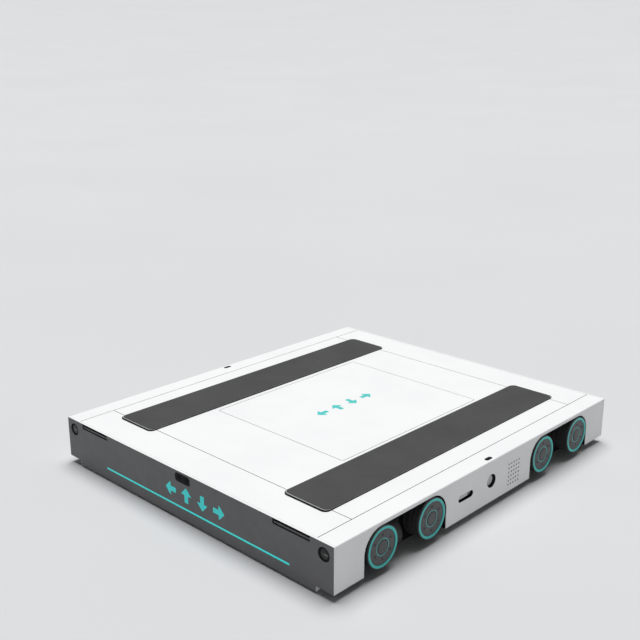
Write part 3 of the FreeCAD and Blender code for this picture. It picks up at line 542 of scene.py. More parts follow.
@dataclass(frozen=True)
class Finish:
    """A procedural material: two drifting tones, a fine relief, uneven gloss, specks and worn edges."""

    name: str
    slot: str
    colour: Colour
    tone: Colour
    worn: Colour
    gloss: Span
    pattern: Pattern = Pattern.GRAINED
    metal: float = 0.0
    specular: float = 0.5
    patches: float = 7.0
    grains: float = 900.0
    relief: float = 0.00003
    stretch: Point = (1.0, 1.0, 1.0)
    specks: float = 0.25
    glow: float = 0.0

    def material(self) -> bpy.types.Material:
        """Return the Blender material, made once and then reused.

        Returns:
            The material of this finish.
        """
        found = bpy.data.materials.get(self.name)
        if found is not None:
            return found
        made = bpy.data.materials.new(self.name)
        made.use_nodes = True
        made.diffuse_color = (*self.colour, 1.0)
        Recipe(made, self).write()
        return made


class Recipe:
    """Writes the nodes of one finish.

    Scales are in features a metre. A band is the part of a noise's range that is spread over the effect.
    """

    DRIFT_BAND: Span = (0.35, 0.65)
    GLOSS_BAND: Span = (0.3, 0.7)
    GLOSS_PATCHES: float = 5.0
    SPECK_SCALE: float = 260.0
    SPECK_BAND: Span = (0.64, 0.74)
    RUB_SCALE: float = 45.0
    RUB_BAND: Span = (0.5, 0.68)
    RUB_SHARE: Span = (0.0, 0.8)
    WAVE_SCALE: float = 26.0
    GLOW_DIP: float = 0.8
    BUMP_STRENGTH: float = 0.5
    MIX_BASE, MIX_TOP, MIX_COLOUR = 6, 7, 2

    def __init__(self, material: bpy.types.Material, finish: Finish) -> None:
        """Start from an empty node tree with its shader, its output and its two kinds of coordinates.

        Args:
            material: the material to write.
            finish: what it has to look like.
        """
        self.finish = finish
        self.tree = material.node_tree
        self.tree.nodes.clear()
        self.shader = self.tree.nodes.new("ShaderNodeBsdfPrincipled")
        output = self.tree.nodes.new("ShaderNodeOutputMaterial")
        self.link(self.shader.outputs[0], output.inputs["Surface"])
        place = self.tree.nodes.new("ShaderNodeTexCoord")
        mapping = self.tree.nodes.new("ShaderNodeMapping")
        mapping.inputs["Scale"].default_value = finish.stretch
        self.link(place.outputs["Object"], mapping.inputs["Vector"])
        self.even = place.outputs["Object"]
        self.drawn = mapping.outputs["Vector"]

    def link(self, source: bpy.types.NodeSocket, target: bpy.types.NodeSocket) -> None:
        """Join two sockets."""
        self.tree.links.new(source, target)

    def noise(self, scale: float, detail: float, drawn: bool = False) -> bpy.types.NodeSocket:
        """Return a noise value of a given scale.

        Args:
            scale: features in a metre.
            detail: how many finer layers are added.
            drawn: whether the pattern is stretched as the finish says.

        Returns:
            The socket that holds the value.
        """
        node = self.tree.nodes.new("ShaderNodeTexNoise")
        node.inputs["Scale"].default_value = scale
        node.inputs["Detail"].default_value = detail
        self.link(self.drawn if drawn else self.even, node.inputs["Vector"])
        return node.outputs[0]

    def cells(self, scale: float) -> bpy.types.NodeSocket:
        """Return the distance to the middle of the nearest cell.

        Args:
            scale: cells in a metre.

        Returns:
            The socket that holds the distance.
        """
        node = self.tree.nodes.new("ShaderNodeTexVoronoi")
        node.inputs["Scale"].default_value = scale
        self.link(self.drawn, node.inputs["Vector"])
        return node.outputs["Distance"]

    def spread(self, value: bpy.types.NodeSocket, source: Span, target: Span) -> bpy.types.NodeSocket:
        """Return a value carried from one range to another.

        Args:
            value: the socket to read.
            source: the range that is read.
            target: the range that is given.

        Returns:
            The socket that holds the new value.
        """
        node = self.tree.nodes.new("ShaderNodeMapRange")
        for name, number in zip(("From Min", "From Max", "To Min", "To Max"), source + target):
            node.inputs[name].default_value = number
        self.link(value, node.inputs["Value"])
        return node.outputs["Result"]

    def times(self, first: bpy.types.NodeSocket, second: bpy.types.NodeSocket) -> bpy.types.NodeSocket:
        """Return the product of two values.

        Args:
            first: one value.
            second: the other value.

        Returns:
            The socket that holds the product.
        """
        node = self.tree.nodes.new("ShaderNodeMath")
        node.operation = "MULTIPLY"
        self.link(first, node.inputs[0])
        self.link(second, node.inputs[1])
        return node.outputs[0]

    def mixed(self, share: bpy.types.NodeSocket, base: bpy.types.NodeSocket | Colour,
              other: Colour) -> bpy.types.NodeSocket:
        """Return one colour laid over another.

        Args:
            share: how much of the other colour shows.
            base: the colour underneath, as a socket or as numbers.
            other: the colour on top.

        Returns:
            The socket that holds the colour.
        """
        node = self.tree.nodes.new("ShaderNodeMix")
        node.data_type = "RGBA"
        self.link(share, node.inputs[0])
        if isinstance(base, tuple):
            node.inputs[self.MIX_BASE].default_value = (*base, 1.0)
        else:
            self.link(base, node.inputs[self.MIX_BASE])
        node.inputs[self.MIX_TOP].default_value = (*other, 1.0)
        return node.outputs[self.MIX_COLOUR]

    def colour(self) -> bpy.types.NodeSocket:
        """Return the colour: the tones drift into each other, then come specks and edges rubbed bare.

        Returns:
            The socket that holds the colour.
        """
        finish = self.finish
        drift = self.spread(self.noise(finish.patches, detail=4.0), self.DRIFT_BAND, (0.0, 1.0))
        speck = self.spread(self.noise(self.SPECK_SCALE, detail=6.0), self.SPECK_BAND, (0.0, finish.specks))
        rub = self.spread(self.noise(self.RUB_SCALE, detail=5.0), self.RUB_BAND, self.RUB_SHARE)
        edge = self.tree.nodes.new("ShaderNodeAttribute")
        edge.attribute_name = "edge"
        speckled = self.mixed(speck, self.mixed(drift, finish.colour, finish.tone), finish.worn)
        return self.mixed(self.times(edge.outputs["Fac"], rub), speckled, finish.worn)

    def relief(self) -> bpy.types.NodeSocket:
        """Return the normal that the fine relief gives, by the finish's pattern.

        Returns:
            The socket that holds the normal.
        """
        finish = self.finish
        if finish.pattern is Pattern.PEBBLED:
            height = self.cells(finish.grains)
        elif finish.pattern is Pattern.BRUSHED:
            height = self.noise(finish.grains, detail=2.0, drawn=True)
        else:
            height = self.noise(finish.grains, detail=3.0)
        bump = self.tree.nodes.new("ShaderNodeBump")
        bump.inputs["Strength"].default_value = self.BUMP_STRENGTH
        bump.inputs["Distance"].default_value = finish.relief
        self.link(height, bump.inputs["Height"])
        return bump.outputs["Normal"]

    def glow(self) -> bpy.types.NodeSocket:
        """Return the strength of the light that the surface gives, which dips in even waves.

        Returns:
            The socket that holds the strength.
        """
        wave = self.tree.nodes.new("ShaderNodeTexWave")
        wave.inputs["Scale"].default_value = self.WAVE_SCALE
        self.link(self.even, wave.inputs["Vector"])
        most = self.finish.glow
        return self.spread(wave.outputs["Fac"], (0.0, 1.0), (most * self.GLOW_DIP, most))

    def write(self) -> None:
        """Write every node of the finish."""
        finish = self.finish
        shader = self.shader.inputs
        gloss = self.noise(finish.patches * self.GLOSS_PATCHES, detail=5.0)
        self.link(self.colour(), shader["Base Color"])
        self.link(self.spread(gloss, self.GLOSS_BAND, finish.gloss), shader["Roughness"])
        self.link(self.relief(), shader["Normal"])
        shader["Metallic"].default_value = finish.metal
        shader["Specular IOR Level"].default_value = finish.specular
        if finish.glow > 0:
            shader["Emission Color"].default_value = (*finish.tone, 1.0)
            self.link(self.glow(), shader["Emission Strength"])


WHITE = Finish("white_powder_coat", "white_paint", (0.86, 0.865, 0.865), (0.835, 0.84, 0.845),
               (0.52, 0.53, 0.53), (0.5, 0.64), grains=1400.0, relief=0.00002, specks=0.12, specular=0.3)
PANEL = Finish("dark_panel_coat", "dark_panel", (0.118, 0.118, 0.121), (0.104, 0.104, 0.108),
               (0.22, 0.22, 0.225), (0.42, 0.55), grains=1500.0, specks=0.2)
RUBBER = Finish("lift_pad_rubber", "pad_rubber", (0.085, 0.085, 0.086), (0.074, 0.074, 0.076),
                (0.16, 0.16, 0.155), (0.7, 0.85), Pattern.PEBBLED, grains=620.0, relief=0.00012,
                specks=0.4, specular=0.02)
# Near-black rubber for the real black parts, also laid as painted shade in the wells, the seams, the slots,
# the port, the button's cup and under the pads.
BLACK_AND_SHADE = Finish("edge_seal_rubber", "black_plastic", (0.016, 0.016, 0.017), (0.012, 0.012, 0.013),
              (0.06, 0.06, 0.06), (0.7, 0.85), relief=0.00004, specular=0.05)
TREAD = Finish("wheel_polyurethane", "wheel_tread", (0.03, 0.03, 0.032), (0.022, 0.022, 0.024),
               (0.11, 0.108, 0.1), (0.45, 0.65), grains=700.0, relief=0.00006, specks=0.5)
HUB = Finish("wheel_face_coat", "dark_panel", (0.062, 0.063, 0.066), (0.05, 0.051, 0.054),
             (0.2, 0.2, 0.2), (0.36, 0.5), grains=1300.0, patches=30.0)
TEAL = Finish("teal_paint", "light_teal", (0.04, 0.57, 0.53), (0.035, 0.52, 0.49),
              (0.2, 0.62, 0.6), (0.32, 0.45), grains=1500.0, relief=0.00002, patches=20.0, specks=0.15)
# Teal film that glows though it is no lamp: painted light on the end arrows.
GLOWING_FILM = Finish("bright_teal_film", "light_teal", (0.02, 0.5, 0.5), (0.018, 0.5, 0.5),
              (0.2, 0.62, 0.6), (0.32, 0.45), grains=1500.0, relief=0.00002, patches=20.0, specks=0.1,
              glow=0.42)
GLOW = Finish("light_bar_diffuser", "light_teal", (0.05, 0.55, 0.54), (0.03, 0.62, 0.6),
              (0.2, 0.7, 0.68), (0.25, 0.35), grains=800.0, relief=0.00002, specks=0.05, glow=0.55)
STEEL = Finish("machined_steel", "steel", (0.5, 0.505, 0.515), (0.43, 0.435, 0.445),
               (0.62, 0.62, 0.62), (0.26, 0.42), Pattern.BRUSHED, metal=1.0, grains=500.0,
               stretch=(1.0, 1.0, 9.0))
ALLOY = Finish("milled_alloy", "alloy", (0.66, 0.67, 0.69), (0.58, 0.59, 0.61),
               (0.8, 0.8, 0.8), (0.3, 0.46), Pattern.BRUSHED, metal=1.0, grains=420.0,
               stretch=(1.0, 8.0, 1.0))
# Bright alloy for the pads' backing plate, whose edge also paints the highlight along the pad's edge.
PLATE = Finish("blasted_alloy", "alloy", (0.46, 0.465, 0.47), (0.4, 0.405, 0.41),
               (0.7, 0.7, 0.7), (0.5, 0.65), metal=0.4)
# Near-black for the cross wheels' carriers: painted shade inside the wheel wells.
CARRIER_SHADE = Finish("dark_anodised_alloy", "alloy", (0.03, 0.03, 0.033), (0.022, 0.022, 0.025),
              (0.16, 0.16, 0.165), (0.35, 0.5), metal=0.2, grains=600.0)
BLACK = Finish("black_moulding", "black_plastic", (0.02, 0.02, 0.022), (0.014, 0.014, 0.016),
               (0.09, 0.09, 0.09), (0.4, 0.6), grains=1100.0, relief=0.00005)
GREY = Finish("grey_moulding", "grey_plastic", (0.40, 0.41, 0.42), (0.35, 0.36, 0.37),
              (0.6, 0.6, 0.6), (0.38, 0.55), grains=1100.0, relief=0.00004)
PALE = Finish("pale_moulding", "grey_plastic", (0.66, 0.67, 0.68), (0.6, 0.61, 0.62),
              (0.8, 0.8, 0.8), (0.38, 0.5), grains=1100.0)
# Dark grey for the charging contacts, also used for the range sensors' bar of painted reflection.
CONTACT_AND_REFLECTION = Finish("dark_contact_coat", "grey_plastic", (0.115, 0.115, 0.12), (0.1, 0.1, 0.105),
                 (0.4, 0.4, 0.41), (0.32, 0.46), grains=1200.0, specks=0.3)
LENS = Finish("dark_glass", "lens", (0.004, 0.004, 0.005), (0.006, 0.006, 0.008),
              (0.02, 0.02, 0.024), (0.12, 0.2), specular=0.06, grains=300.0, relief=0.000002,
              specks=0.3, patches=40.0)
COVER = Finish("smoked_cover", "lens", (0.006, 0.006, 0.007), (0.005, 0.005, 0.006),
               (0.06, 0.06, 0.06), (0.1, 0.18), specular=0.3, grains=300.0, relief=0.000004,
               specks=0.3, patches=40.0)
BELT = Finish("toothed_belt", "belt", (0.025, 0.025, 0.026), (0.018, 0.018, 0.019),
              (0.1, 0.1, 0.1), (0.6, 0.8), grains=500.0, relief=0.0001)
MOTOR = Finish("motor_enamel", "motor_paint", (0.05, 0.055, 0.065), (0.04, 0.045, 0.054),
               (0.25, 0.25, 0.25), (0.3, 0.45), grains=700.0, relief=0.00006)

# The finish that each slot's nodes get, the body that each node rides on, and each node's slot.
FINISHES = {finish.slot: finish for finish in (WHITE, PANEL, RUBBER, TREAD, STEEL, ALLOY,
                                               BLACK, GREY, LENS, GLOW, BELT, MOTOR)}
BODY_OF = {node: body for body, nodes in frame["record"]["behaviour"]["bodies"].items() for node in nodes}
SLOT_OF = {row["node"]: row["material_slot"] for row in frame["record"]["subparts"]}


def make_piece(name: str, surface: Surface, finish: Finish, replaced: Sequence[str] = (),
               body: str = "chassis") -> None:
    """Put a surface into the scene as a piece that rides on a body.

    Args:
        name: the piece's name.
        surface: its shape, in millimetres.
        finish: its material.
        replaced: the nodes that it stands for.
        body: the body that it moves with.
    """
    mesh = bpy.data.meshes.new(name)
    faces = [row for block in surface.faces for row in block.tolist()]
    mesh.from_pydata((surface.points * MM).tolist(), [], faces)
    mesh.attributes.new("edge", "FLOAT", "POINT").data.foreach_set("value", surface.edge.astype(np.float32))
    shell = bmesh.new()
    shell.from_mesh(mesh)
    bmesh.ops.remove_doubles(shell, verts=shell.verts, dist=WELD)
    bmesh.ops.dissolve_degenerate(shell, dist=SLIVER, edges=shell.edges)
    shell.to_mesh(mesh)
    shell.free()
    mesh.polygons.foreach_set("use_smooth", np.ones(len(mesh.polygons), bool))
    mesh.set_sharp_from_angle(angle=SHARP_ANGLE)
    mesh.materials.append(finish.material())
    piece = bpy.data.objects.new(name, mesh)
    bpy.context.scene.collection.objects.link(piece)
    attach(piece, body)
    if replaced:
        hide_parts(*replaced)
    log.info("%s: %d faces, %s, on %s", name, len(mesh.polygons), finish.name, body)


class SubAssembly(ABC):
    """A group of pieces that is built and dressed together."""

    @abstractmethod
    def build(self) -> None:
        """Make the pieces of this group."""


@dataclass(frozen=True)
class SideLayout:
    """Places on the right side as (along, height), and of the sensor on its top as (across, along)."""

    port: Span = (-104.5, 74.5)
    port_size: Span = (60.0, 17.0)
    button: Span = (4.0, 76.5)
    button_hole: float = 18.0
    grille: Span = (104.0, 66.25)
    eye: Span = (487.0, 4.0)


LAYOUT = SideLayout()


@dataclass(frozen=True)
class WheelWells:
    """The two open wells of a side beam, the ribs at their ends and their near-black lining, which paints the
    shade inside the wells and under the beam.
    """

    near: float = 182.5
    far: float = 474.5
    bottom: float = BEAM_BOX.low[Z]
    top: float = 123.0
    corner: float = 55.0
    rib: float = 5.0
    rib_span: Span = (447.2, 494.9)
    rib_top: float = 127.9
    rib_corner: float = 1.2
    rib_steps: int = 3
    rib_roll: float = 0.6
    shade_liner: float = 0.8
    shade_liner_roll: float = 0.2
    arch_inset: float = 1.4
    arch_depth: float = 45.5
    arch_lift: float = 0.3
    arch_steps: int = 14
    back_depth: float = 52.0
    back_bottom: float = 6.6
    back_corner: float = 1.0
    back_steps: int = 2
    backs: tuple[Span, Span] = ((183.4, 296.4), (373.6, 473.6))
    axles: Span = (241.0, 416.0)
    axle_height: float = WHEEL_BOX.middle(Z)
    axle_hole: float = 34.0
    strip_end: float = 548.0
    strip_gap: float = 0.2

    @property
    def spans(self) -> tuple[Span, Span]:
        """The span of each well along the beam."""
        return (-self.far, -self.near), (self.near, self.far)

    def ribs(self) -> list[Surface]:
        """Return the four ribs that close the wells at their ends.

        Returns:
            One plate a rib, on the right side.
        """
        edge = rectangle(self.rib_span, (self.bottom, self.rib_top), self.rib_corner, self.rib_steps)
        plates = []
        for sign in (-1, 1):
            for middle in (self.near - self.rib / 2, self.far + self.rib / 2):
                face = Plane((0, sign * middle - self.rib / 2, 0), (1, 0, 0), (0, 0, 1))
                plates.append(plate(edge, self.rib_roll, self.rib, face))
        return plates

    def arches(self) -> list[Surface]:
        """Return a thin band along each well's edge, carried inwards.

        Returns:
            One band a well, on the right side.
        """
        low, top, corner = self.bottom + self.arch_lift, self.top, self.corner
        under, inner_corner = top - self.shade_liner, corner - self.shade_liner
        place = RIGHT_SIDE.moved(0, 0, -self.arch_inset)
        bands = []
        for near, far in self.spans:
            inner_near, inner_far = shrunk((near, far), self.shade_liner)
            band = rounded_corners([(near, low, 0), (inner_near, low, 0), (inner_near, under, inner_corner),
                                    (inner_far, under, inner_corner), (inner_far, low, 0), (far, low, 0),
                                    (far, top, corner), (near, top, corner)], self.arch_steps)
            bands.append(plate(band, self.shade_liner_roll, self.arch_depth, place))
        return bands

    def walls(self) -> list[Surface]:
        """Return the dark plates behind the wheels, each with a hole for its axle, and the strips between;
        all are painted shade.

        Returns:
            The plates and strips of the right side.
        """
        back = RIGHT_SIDE.moved(0, 0, -self.back_depth)
        tall, low = (self.back_bottom, self.top), (self.back_bottom, self.bottom - self.strip_gap)
        plates = []
        for sign in (-1, 1):
            for middle, span in zip(self.axles, self.backs):
                edge = rectangle(on_side(sign, span), tall, self.back_corner, self.back_steps)
                hole = circle((sign * middle, self.axle_height), self.axle_hole)
                loops = [Loop(edge, self.shade_liner_roll), opening(hole, self.shade_liner_roll)]
                plates.append(sheet(loops, self.shade_liner, back.lay))
        near, far, end = self.backs[0][0] - self.shade_liner, self.backs[1][1] + self.shade_liner, self.strip_end
        for span in ((-end, -far), (-near, near), (far, end)):
            edge = rectangle(span, low, self.back_corner, self.back_steps)
            plates.append(plate(edge, self.shade_liner_roll, self.shade_liner, back))
        return plates

    def shade_lining(self) -> Surface:
        """Return the arches, walls and ribs of the right side as one surface of painted shade."""
        return joined(self.arches() + self.walls() + self.ribs())


@dataclass(frozen=True)
class Grille:
    """The speaker's grille: small round holes with dark cloth in each."""

    pitch: float = 11.4
    counts: tuple[int, int] = (5, 6)
    radius: float = 2.5
    roll: float = 0.3
    steps: int = 16
    cloth: Span = (-4.0, -0.5)
    cloth_gap: float = 0.1
    cloth_steps: int = 12

    def places(self) -> np.ndarray:
        """Return the middles of the holes: an even grid about the grille's middle.

        Returns:
            Rows of (along, height).
        """
        counts = np.array(self.counts)
        steps = np.indices(counts).reshape(2, -1).T - (counts - 1) / 2
        return np.asarray(LAYOUT.grille) + self.pitch * steps

    def holes(self, bottom: float) -> list[Loop]:
        """Return the holes in a sheet whose lower edge is at a height."""
        return [opening(circle((along, height - bottom), self.radius, self.steps), self.roll)
                for along, height in self.places()]

    def plugs(self) -> Surface:
        """Return the cloth that fills each hole, a hair behind the skin.

        Returns:
            All the plugs as one surface.
        """
        back, front = self.cloth
        radius = self.radius - self.cloth_gap
        profile = np.array([(back, 0), (back, radius), (front, radius), (front, 0)])
        return joined([lathe(profile, RIGHT_SIDE.moved(along, height), self.cloth_steps)
                       for along, height in self.places()])


@dataclass(frozen=True)
class SideBeams(SubAssembly):
    """The two folded side sheets with their wheel wells; the right one also has port, button and grille."""

    bottom: float = BEAM_BOX.low[Z]
    top: float = BEAM_BOX.high[Z]
    outer: float = BEAM_BOX.high[X]
    half_length: float = 563.8
    flange_edge: float = 447.5
    thick: float = 5.0
    roll: float = 0.8
    corner: float = 1.5
    arc_steps: int = 12
    fold: float = 2.5
    fold_steps: int = 4
    fold_slack: float = 0.001
    eye_mouth: Span = (23.0, 10.0)
    eye_roll: float = 0.4
    mouth_roll: float = 1.0
    mouth_steps: int = 64
    wells: WheelWells = WheelWells()
    grille: Grille = Grille()

    @property
    def skin(self) -> float:
        """Height of the flat part of the skin."""
        return self.top - self.bottom - self.fold

    @property
    def flange_start(self) -> float:
        """Where the flange starts along the developed sheet."""
        return self.skin + self.fold * np.pi / 2

    @property
    def folds(self) -> np.ndarray:
        """Developed heights of the lines that the fold is bent on."""
        return np.linspace(self.skin, self.flange_start, self.fold_steps + 1)

    def on_flange(self, across: float) -> float:
        """Return the developed height of a place on the flange."""
        return self.flange_start + self.outer - self.fold - across

    def folded(self, local: np.ndarray) -> np.ndarray:
        """Return points of the flat sheet after folding.

        The developed height v runs up the skin, round a quarter of a circle and in along the flange. The
        outside keeps the fold's radius, and below that depth the inner corner closes to a sharp line.

        Args:
            local: points of (along Y, developed height, depth).

        Returns:
            The same points in the part's frame, on the right side.
        """
        along, height, depth = local.T
        angle = np.clip((height - self.skin) / self.fold, 0, np.pi / 2)
        bend = (height >= self.skin - self.fold_slack) & (height <= self.flange_start + self.fold_slack)
        reach = np.where(bend, np.maximum(self.fold + depth, 0), self.fold + depth)
        sink = np.where(bend, np.maximum(-depth - self.fold, 0), 0)
        inset = np.maximum(height - self.flange_start, 0)
        drop = np.maximum(self.skin - height, 0)
        x = self.outer - self.fold + np.cos(angle) * reach - inset - sink
        z = self.top - self.fold + np.sin(angle) * reach - drop - sink
        return np.stack([x, along, z], axis=1)

    def outline(self) -> np.ndarray:
        """Return the edge of the flat sheet, anticlockwise, with both wells open at the bottom.

        Returns:
            Points of (along, developed height).
        """
        end, edge, wells = self.half_length, self.corner, self.wells
        deep, reach = wells.top - self.bottom, self.on_flange(self.flange_edge)
        corners = [(-end, 0, edge)]
        for near, far in wells.spans:
            corners += [(near, 0, edge), (near, deep, wells.corner),
                        (far, deep, wells.corner), (far, 0, edge)]
        corners += [(end, 0, edge)] + [(end, height, 0) for height in self.folds]
        corners += [(end, reach, edge), (-end, reach, edge)]
        corners += [(-end, height, 0) for height in self.folds[::-1]]
        return rounded_corners(corners, self.arc_steps)

    def creases(self) -> np.ndarray:
        """Return the lines of the fold, from one rolled end of the sheet to the other.

        Returns:
            Rows of (along, developed height) twice.
        """
        end = np.full_like(self.folds, self.half_length - ROLL_REACH * self.roll)
        return np.stack([-end, self.folds, end, self.folds], axis=1)

    def eye_opening(self) -> Loop:
        """Return the oval opening in the flange, over the pallet sensor.

        Returns:
            The opening's edge.
        """
        across, along = LAYOUT.eye
        length, width = self.eye_mouth
        return opening(stadium(around(along, length), around(self.on_flange(across), width)), self.eye_roll)

    def openings(self) -> list[Loop]:
        """Return the openings that only the right side has.

        Returns:
            The edges of the port's mouth, the button's mouth and the grille's holes.
        """
        along, height = LAYOUT.port
        length, width = LAYOUT.port_size
        slot = stadium(around(along, length), around(height - self.bottom, width))
        along, height = LAYOUT.button
        mouth = circle((along, height - self.bottom), LAYOUT.button_hole, self.mouth_steps)
        found = [opening(outline, self.mouth_roll) for outline in (slot, mouth)]
        return found + self.grille.holes(self.bottom)

    def build(self) -> None:
        """Make both side beams, the near-black lining of their wells, which paints their shade, and the cloth
        of the grille.
        """
        loops = [Loop(self.outline(), self.roll), self.eye_opening()]
        right = sheet(loops + self.openings(), self.thick, self.folded, self.creases())
        left = sheet(loops, self.thick, self.folded, self.creases()).half_turned()
        shade_lining = self.wells.shade_lining()
        for name, beam, dark in (("right", right, shade_lining), ("left", left, shade_lining.half_turned())):
            make_piece(f"side_shell_{name}", beam, WHITE, [f"side_beam_{name}"])
            # The lining is painted shade inside the wells and under the beam.
            make_piece(f"well_liners_{name}", dark, BLACK_AND_SHADE)
        make_piece("grille_cloth", self.grille.plugs(), BLACK_AND_SHADE)


@dataclass(frozen=True)
class TopCovers(SubAssembly):
    """The deck cover with its lift slots, the hatch in it and the two end covers."""

    half_width: float = DECK_BOX.high[X]
    seam: float = DECK_BOX.high[Y]
    end: float = COVER_BOX.high[Y]
    thick: float = DECK_BOX.size(Z)
    corner: float = 1.6
    corner_steps: int = 3
    slot_middle: float = PAD_BOX.middle(X)
    slot_width: float = 114.0
    slot_end: float = 440.0
    slot_corner: float = 3.0
    hatch_half: float = HATCH_BOX.high[X]
    hatch: Span = HATCH_BOX.span(Y)
    hatch_thick: float = HATCH_BOX.size(Z)
    hatch_corner: float = 6.0
    hatch_roll: float = 0.5
    seat_corner: float = 7.0
    gap: float = 1.0
    ledge: float = 12.0
    ledge_gap: float = 0.05
    ledge_roll: float = 0.3
    # The near-black strips in the seams paint the shade in the gaps between the covers.
    seam_shade_depth: float = 0.12
    seam_shade_thick: float = 0.6
    seam_shade_border: float = 0.36
    seam_shade_corner: float = 0.2
    seam_shade_steps: int = 2
    seam_shade_roll: float = 0.05
    lid_border: float = 0.2

    def hatch_edge(self, inset: float, corner: float) -> np.ndarray:
        """Return the hatch's outline, moved inwards by an inset."""
        return rectangle(shrunk(about(self.hatch_half), inset), shrunk(self.hatch, inset), corner)

    def seam_shade(self) -> Surface:
        """Return the near-black strips in the seams, which paint the shade in the gaps: two along, two across
        and one round the lid.

        Each strip lies a hair below the top and reaches a little under the rolled edges beside it.

        Returns:
            All the strips as one surface.
        """
        inner, outer = self.half_width - self.seam_shade_border, self.half_width + self.gap + self.seam_shade_border
        near, far = self.seam - self.seam_shade_border, self.seam + self.gap + self.seam_shade_border
        strips = []
        for sign in (-1, 1):
            for u, v in ((on_side(sign, (inner, outer)), about(self.end)),
                         (about(inner), on_side(sign, (near, far)))):
                strip = rectangle(u, v, self.seam_shade_corner, self.seam_shade_steps)
                strips.append([Loop(strip, self.seam_shade_roll)])
        outside = self.hatch_edge(-self.gap - self.lid_border, self.seat_corner)
        inside = self.hatch_edge(self.lid_border, self.hatch_corner)
        strips.append([Loop(outside, self.seam_shade_roll), opening(inside, self.seam_shade_roll)])
        place = DECK.moved(0, 0, -self.seam_shade_depth)
        return joined([sheet(loops, self.seam_shade_thick, place.lay) for loops in strips])

    def deck(self) -> Surface:
        """Return the deck cover with its two lift slots, and the ledge that the hatch lies on.

        Returns:
            The cover and its ledge as one surface.
        """
        seat = self.hatch_edge(-self.gap, self.seat_corner)
        edge = rectangle(about(self.half_width), about(self.seam), self.corner, self.corner_steps)
        loops = [Loop(edge), opening(seat, self.hatch_roll)]
        for sign in (-1, 1):
            slot = around(sign * self.slot_middle, self.slot_width)
            loops.append(opening(rectangle(slot, about(self.slot_end), self.slot_corner)))
        mouth = self.hatch_edge(self.ledge, self.hatch_corner)
        under = self.hatch_thick + self.ledge_gap
        ledge = sheet([Loop(seat, self.ledge_roll), opening(mouth, self.hatch_roll)], self.thick - under,
                      DECK.moved(0, 0, -under).lay)
        return joined([sheet(loops, self.thick, DECK.lay), ledge])

    def build(self) -> None:
        """Make the covers as sheets with rolled edges, and the strips of painted shade between them."""
        make_piece("deck_sheet", self.deck(), WHITE, ["deck_cover"])
        lid = plate(self.hatch_edge(0.0, self.hatch_corner), self.hatch_roll, self.hatch_thick, DECK)
        make_piece("hatch_lid", lid, WHITE, ["access_hatch"])
        along = (-self.end, -self.seam - self.gap)
        edge = rectangle(about(self.half_width), along, self.corner, self.corner_steps)
        cover = sheet([Loop(edge)], self.thick, DECK.lay)
        make_piece("front_cover_sheet", cover, WHITE, ["front_end_cover"])
        make_piece("rear_cover_sheet", cover.half_turned(), WHITE, ["rear_end_cover"])
        # The seam strips are painted shade in the gaps.
        make_piece("deck_seals", self.seam_shade(), BLACK_AND_SHADE)


@dataclass(frozen=True)
class LightBar:
    """The lit bar low in an end panel, a diffuser with a softly rounded face."""

    span: Span = (-324.0, 367.0)
    height: Span = (34.0, 40.0)
    mouth_roll: float = 0.4
    gap: float = 0.15
    roll: float = 1.4
    sunk: float = 0.4
    thick: float = 5.4

    def mouth(self) -> Loop:
        """Return the bar's opening in the panel."""
        return opening(stadium(self.span, self.height), self.mouth_roll)

    def diffuser(self, plane: Plane) -> Surface:
        """Return the diffuser, a hair behind the face of the end."""
        edge = stadium(shrunk(self.span, self.gap), shrunk(self.height, self.gap))
        return plate(edge, self.roll, self.thick, plane.moved(0, 0, -self.sunk))


@dataclass(frozen=True)
class VisionWindow:
    """The window in the middle of an end, with two cameras in its glass."""

    half_width: float = 28.5
    height: Span = (103.6, 127.0)
    corner: float = 8.0
    mouth_roll: float = 0.7
    gap: float = 0.2
    roll: float = 0.5
    sunk: float = 1.5
    panel_thick: float = PANEL_BOX.size(Y)
    case_corner: float = 3.0
    case_roll: float = 1.0
    case_depth: float = 44.0
    cameras: Span = (-14.0, 14.0)
    camera_steps: int = 40
    camera: Corners = ((-4.0, 0, 0), (-4.0, 5.6, 0), (0.9, 5.6, 0.3), (0.9, 4.2, 0.3), (0.35, 3.6, 0),
                       (0.6, 0, 0))

    def mouth(self) -> Loop:
        """Return the window's opening in the panel."""
        return opening(rectangle(about(self.half_width), self.height, self.corner), self.mouth_roll)

    def glass(self, plane: Plane) -> Surface:
        """Return the window's glass, with the casing behind it.

        Args:
            plane: the face of the end.

        Returns:
            Both as one surface.
        """
        edge = rectangle(shrunk(about(self.half_width), self.gap), shrunk(self.height, self.gap),
                         self.corner - self.gap)
        case = rectangle(WINDOW_BOX.span(X), WINDOW_BOX.span(Z), self.case_corner)
        thick = self.panel_thick
        return joined([plate(edge, self.roll, thick - self.sunk, plane.moved(0, 0, -self.sunk)),
                       plate(case, self.case_roll, self.case_depth, plane.moved(0, 0, -thick))])

    def rings(self, plane: Plane) -> Surface:
        """Return the rings of both cameras, each with a lens in it.

        Args:
            plane: the face of the end.

        Returns:
            Both as one surface.
        """
        face = plane.moved(0, sum(self.height) / 2, -self.sunk)
        places = [face.moved(along, 0) for along in self.cameras]
        return joined([turned(self.camera, place, self.camera_steps) for place in places])


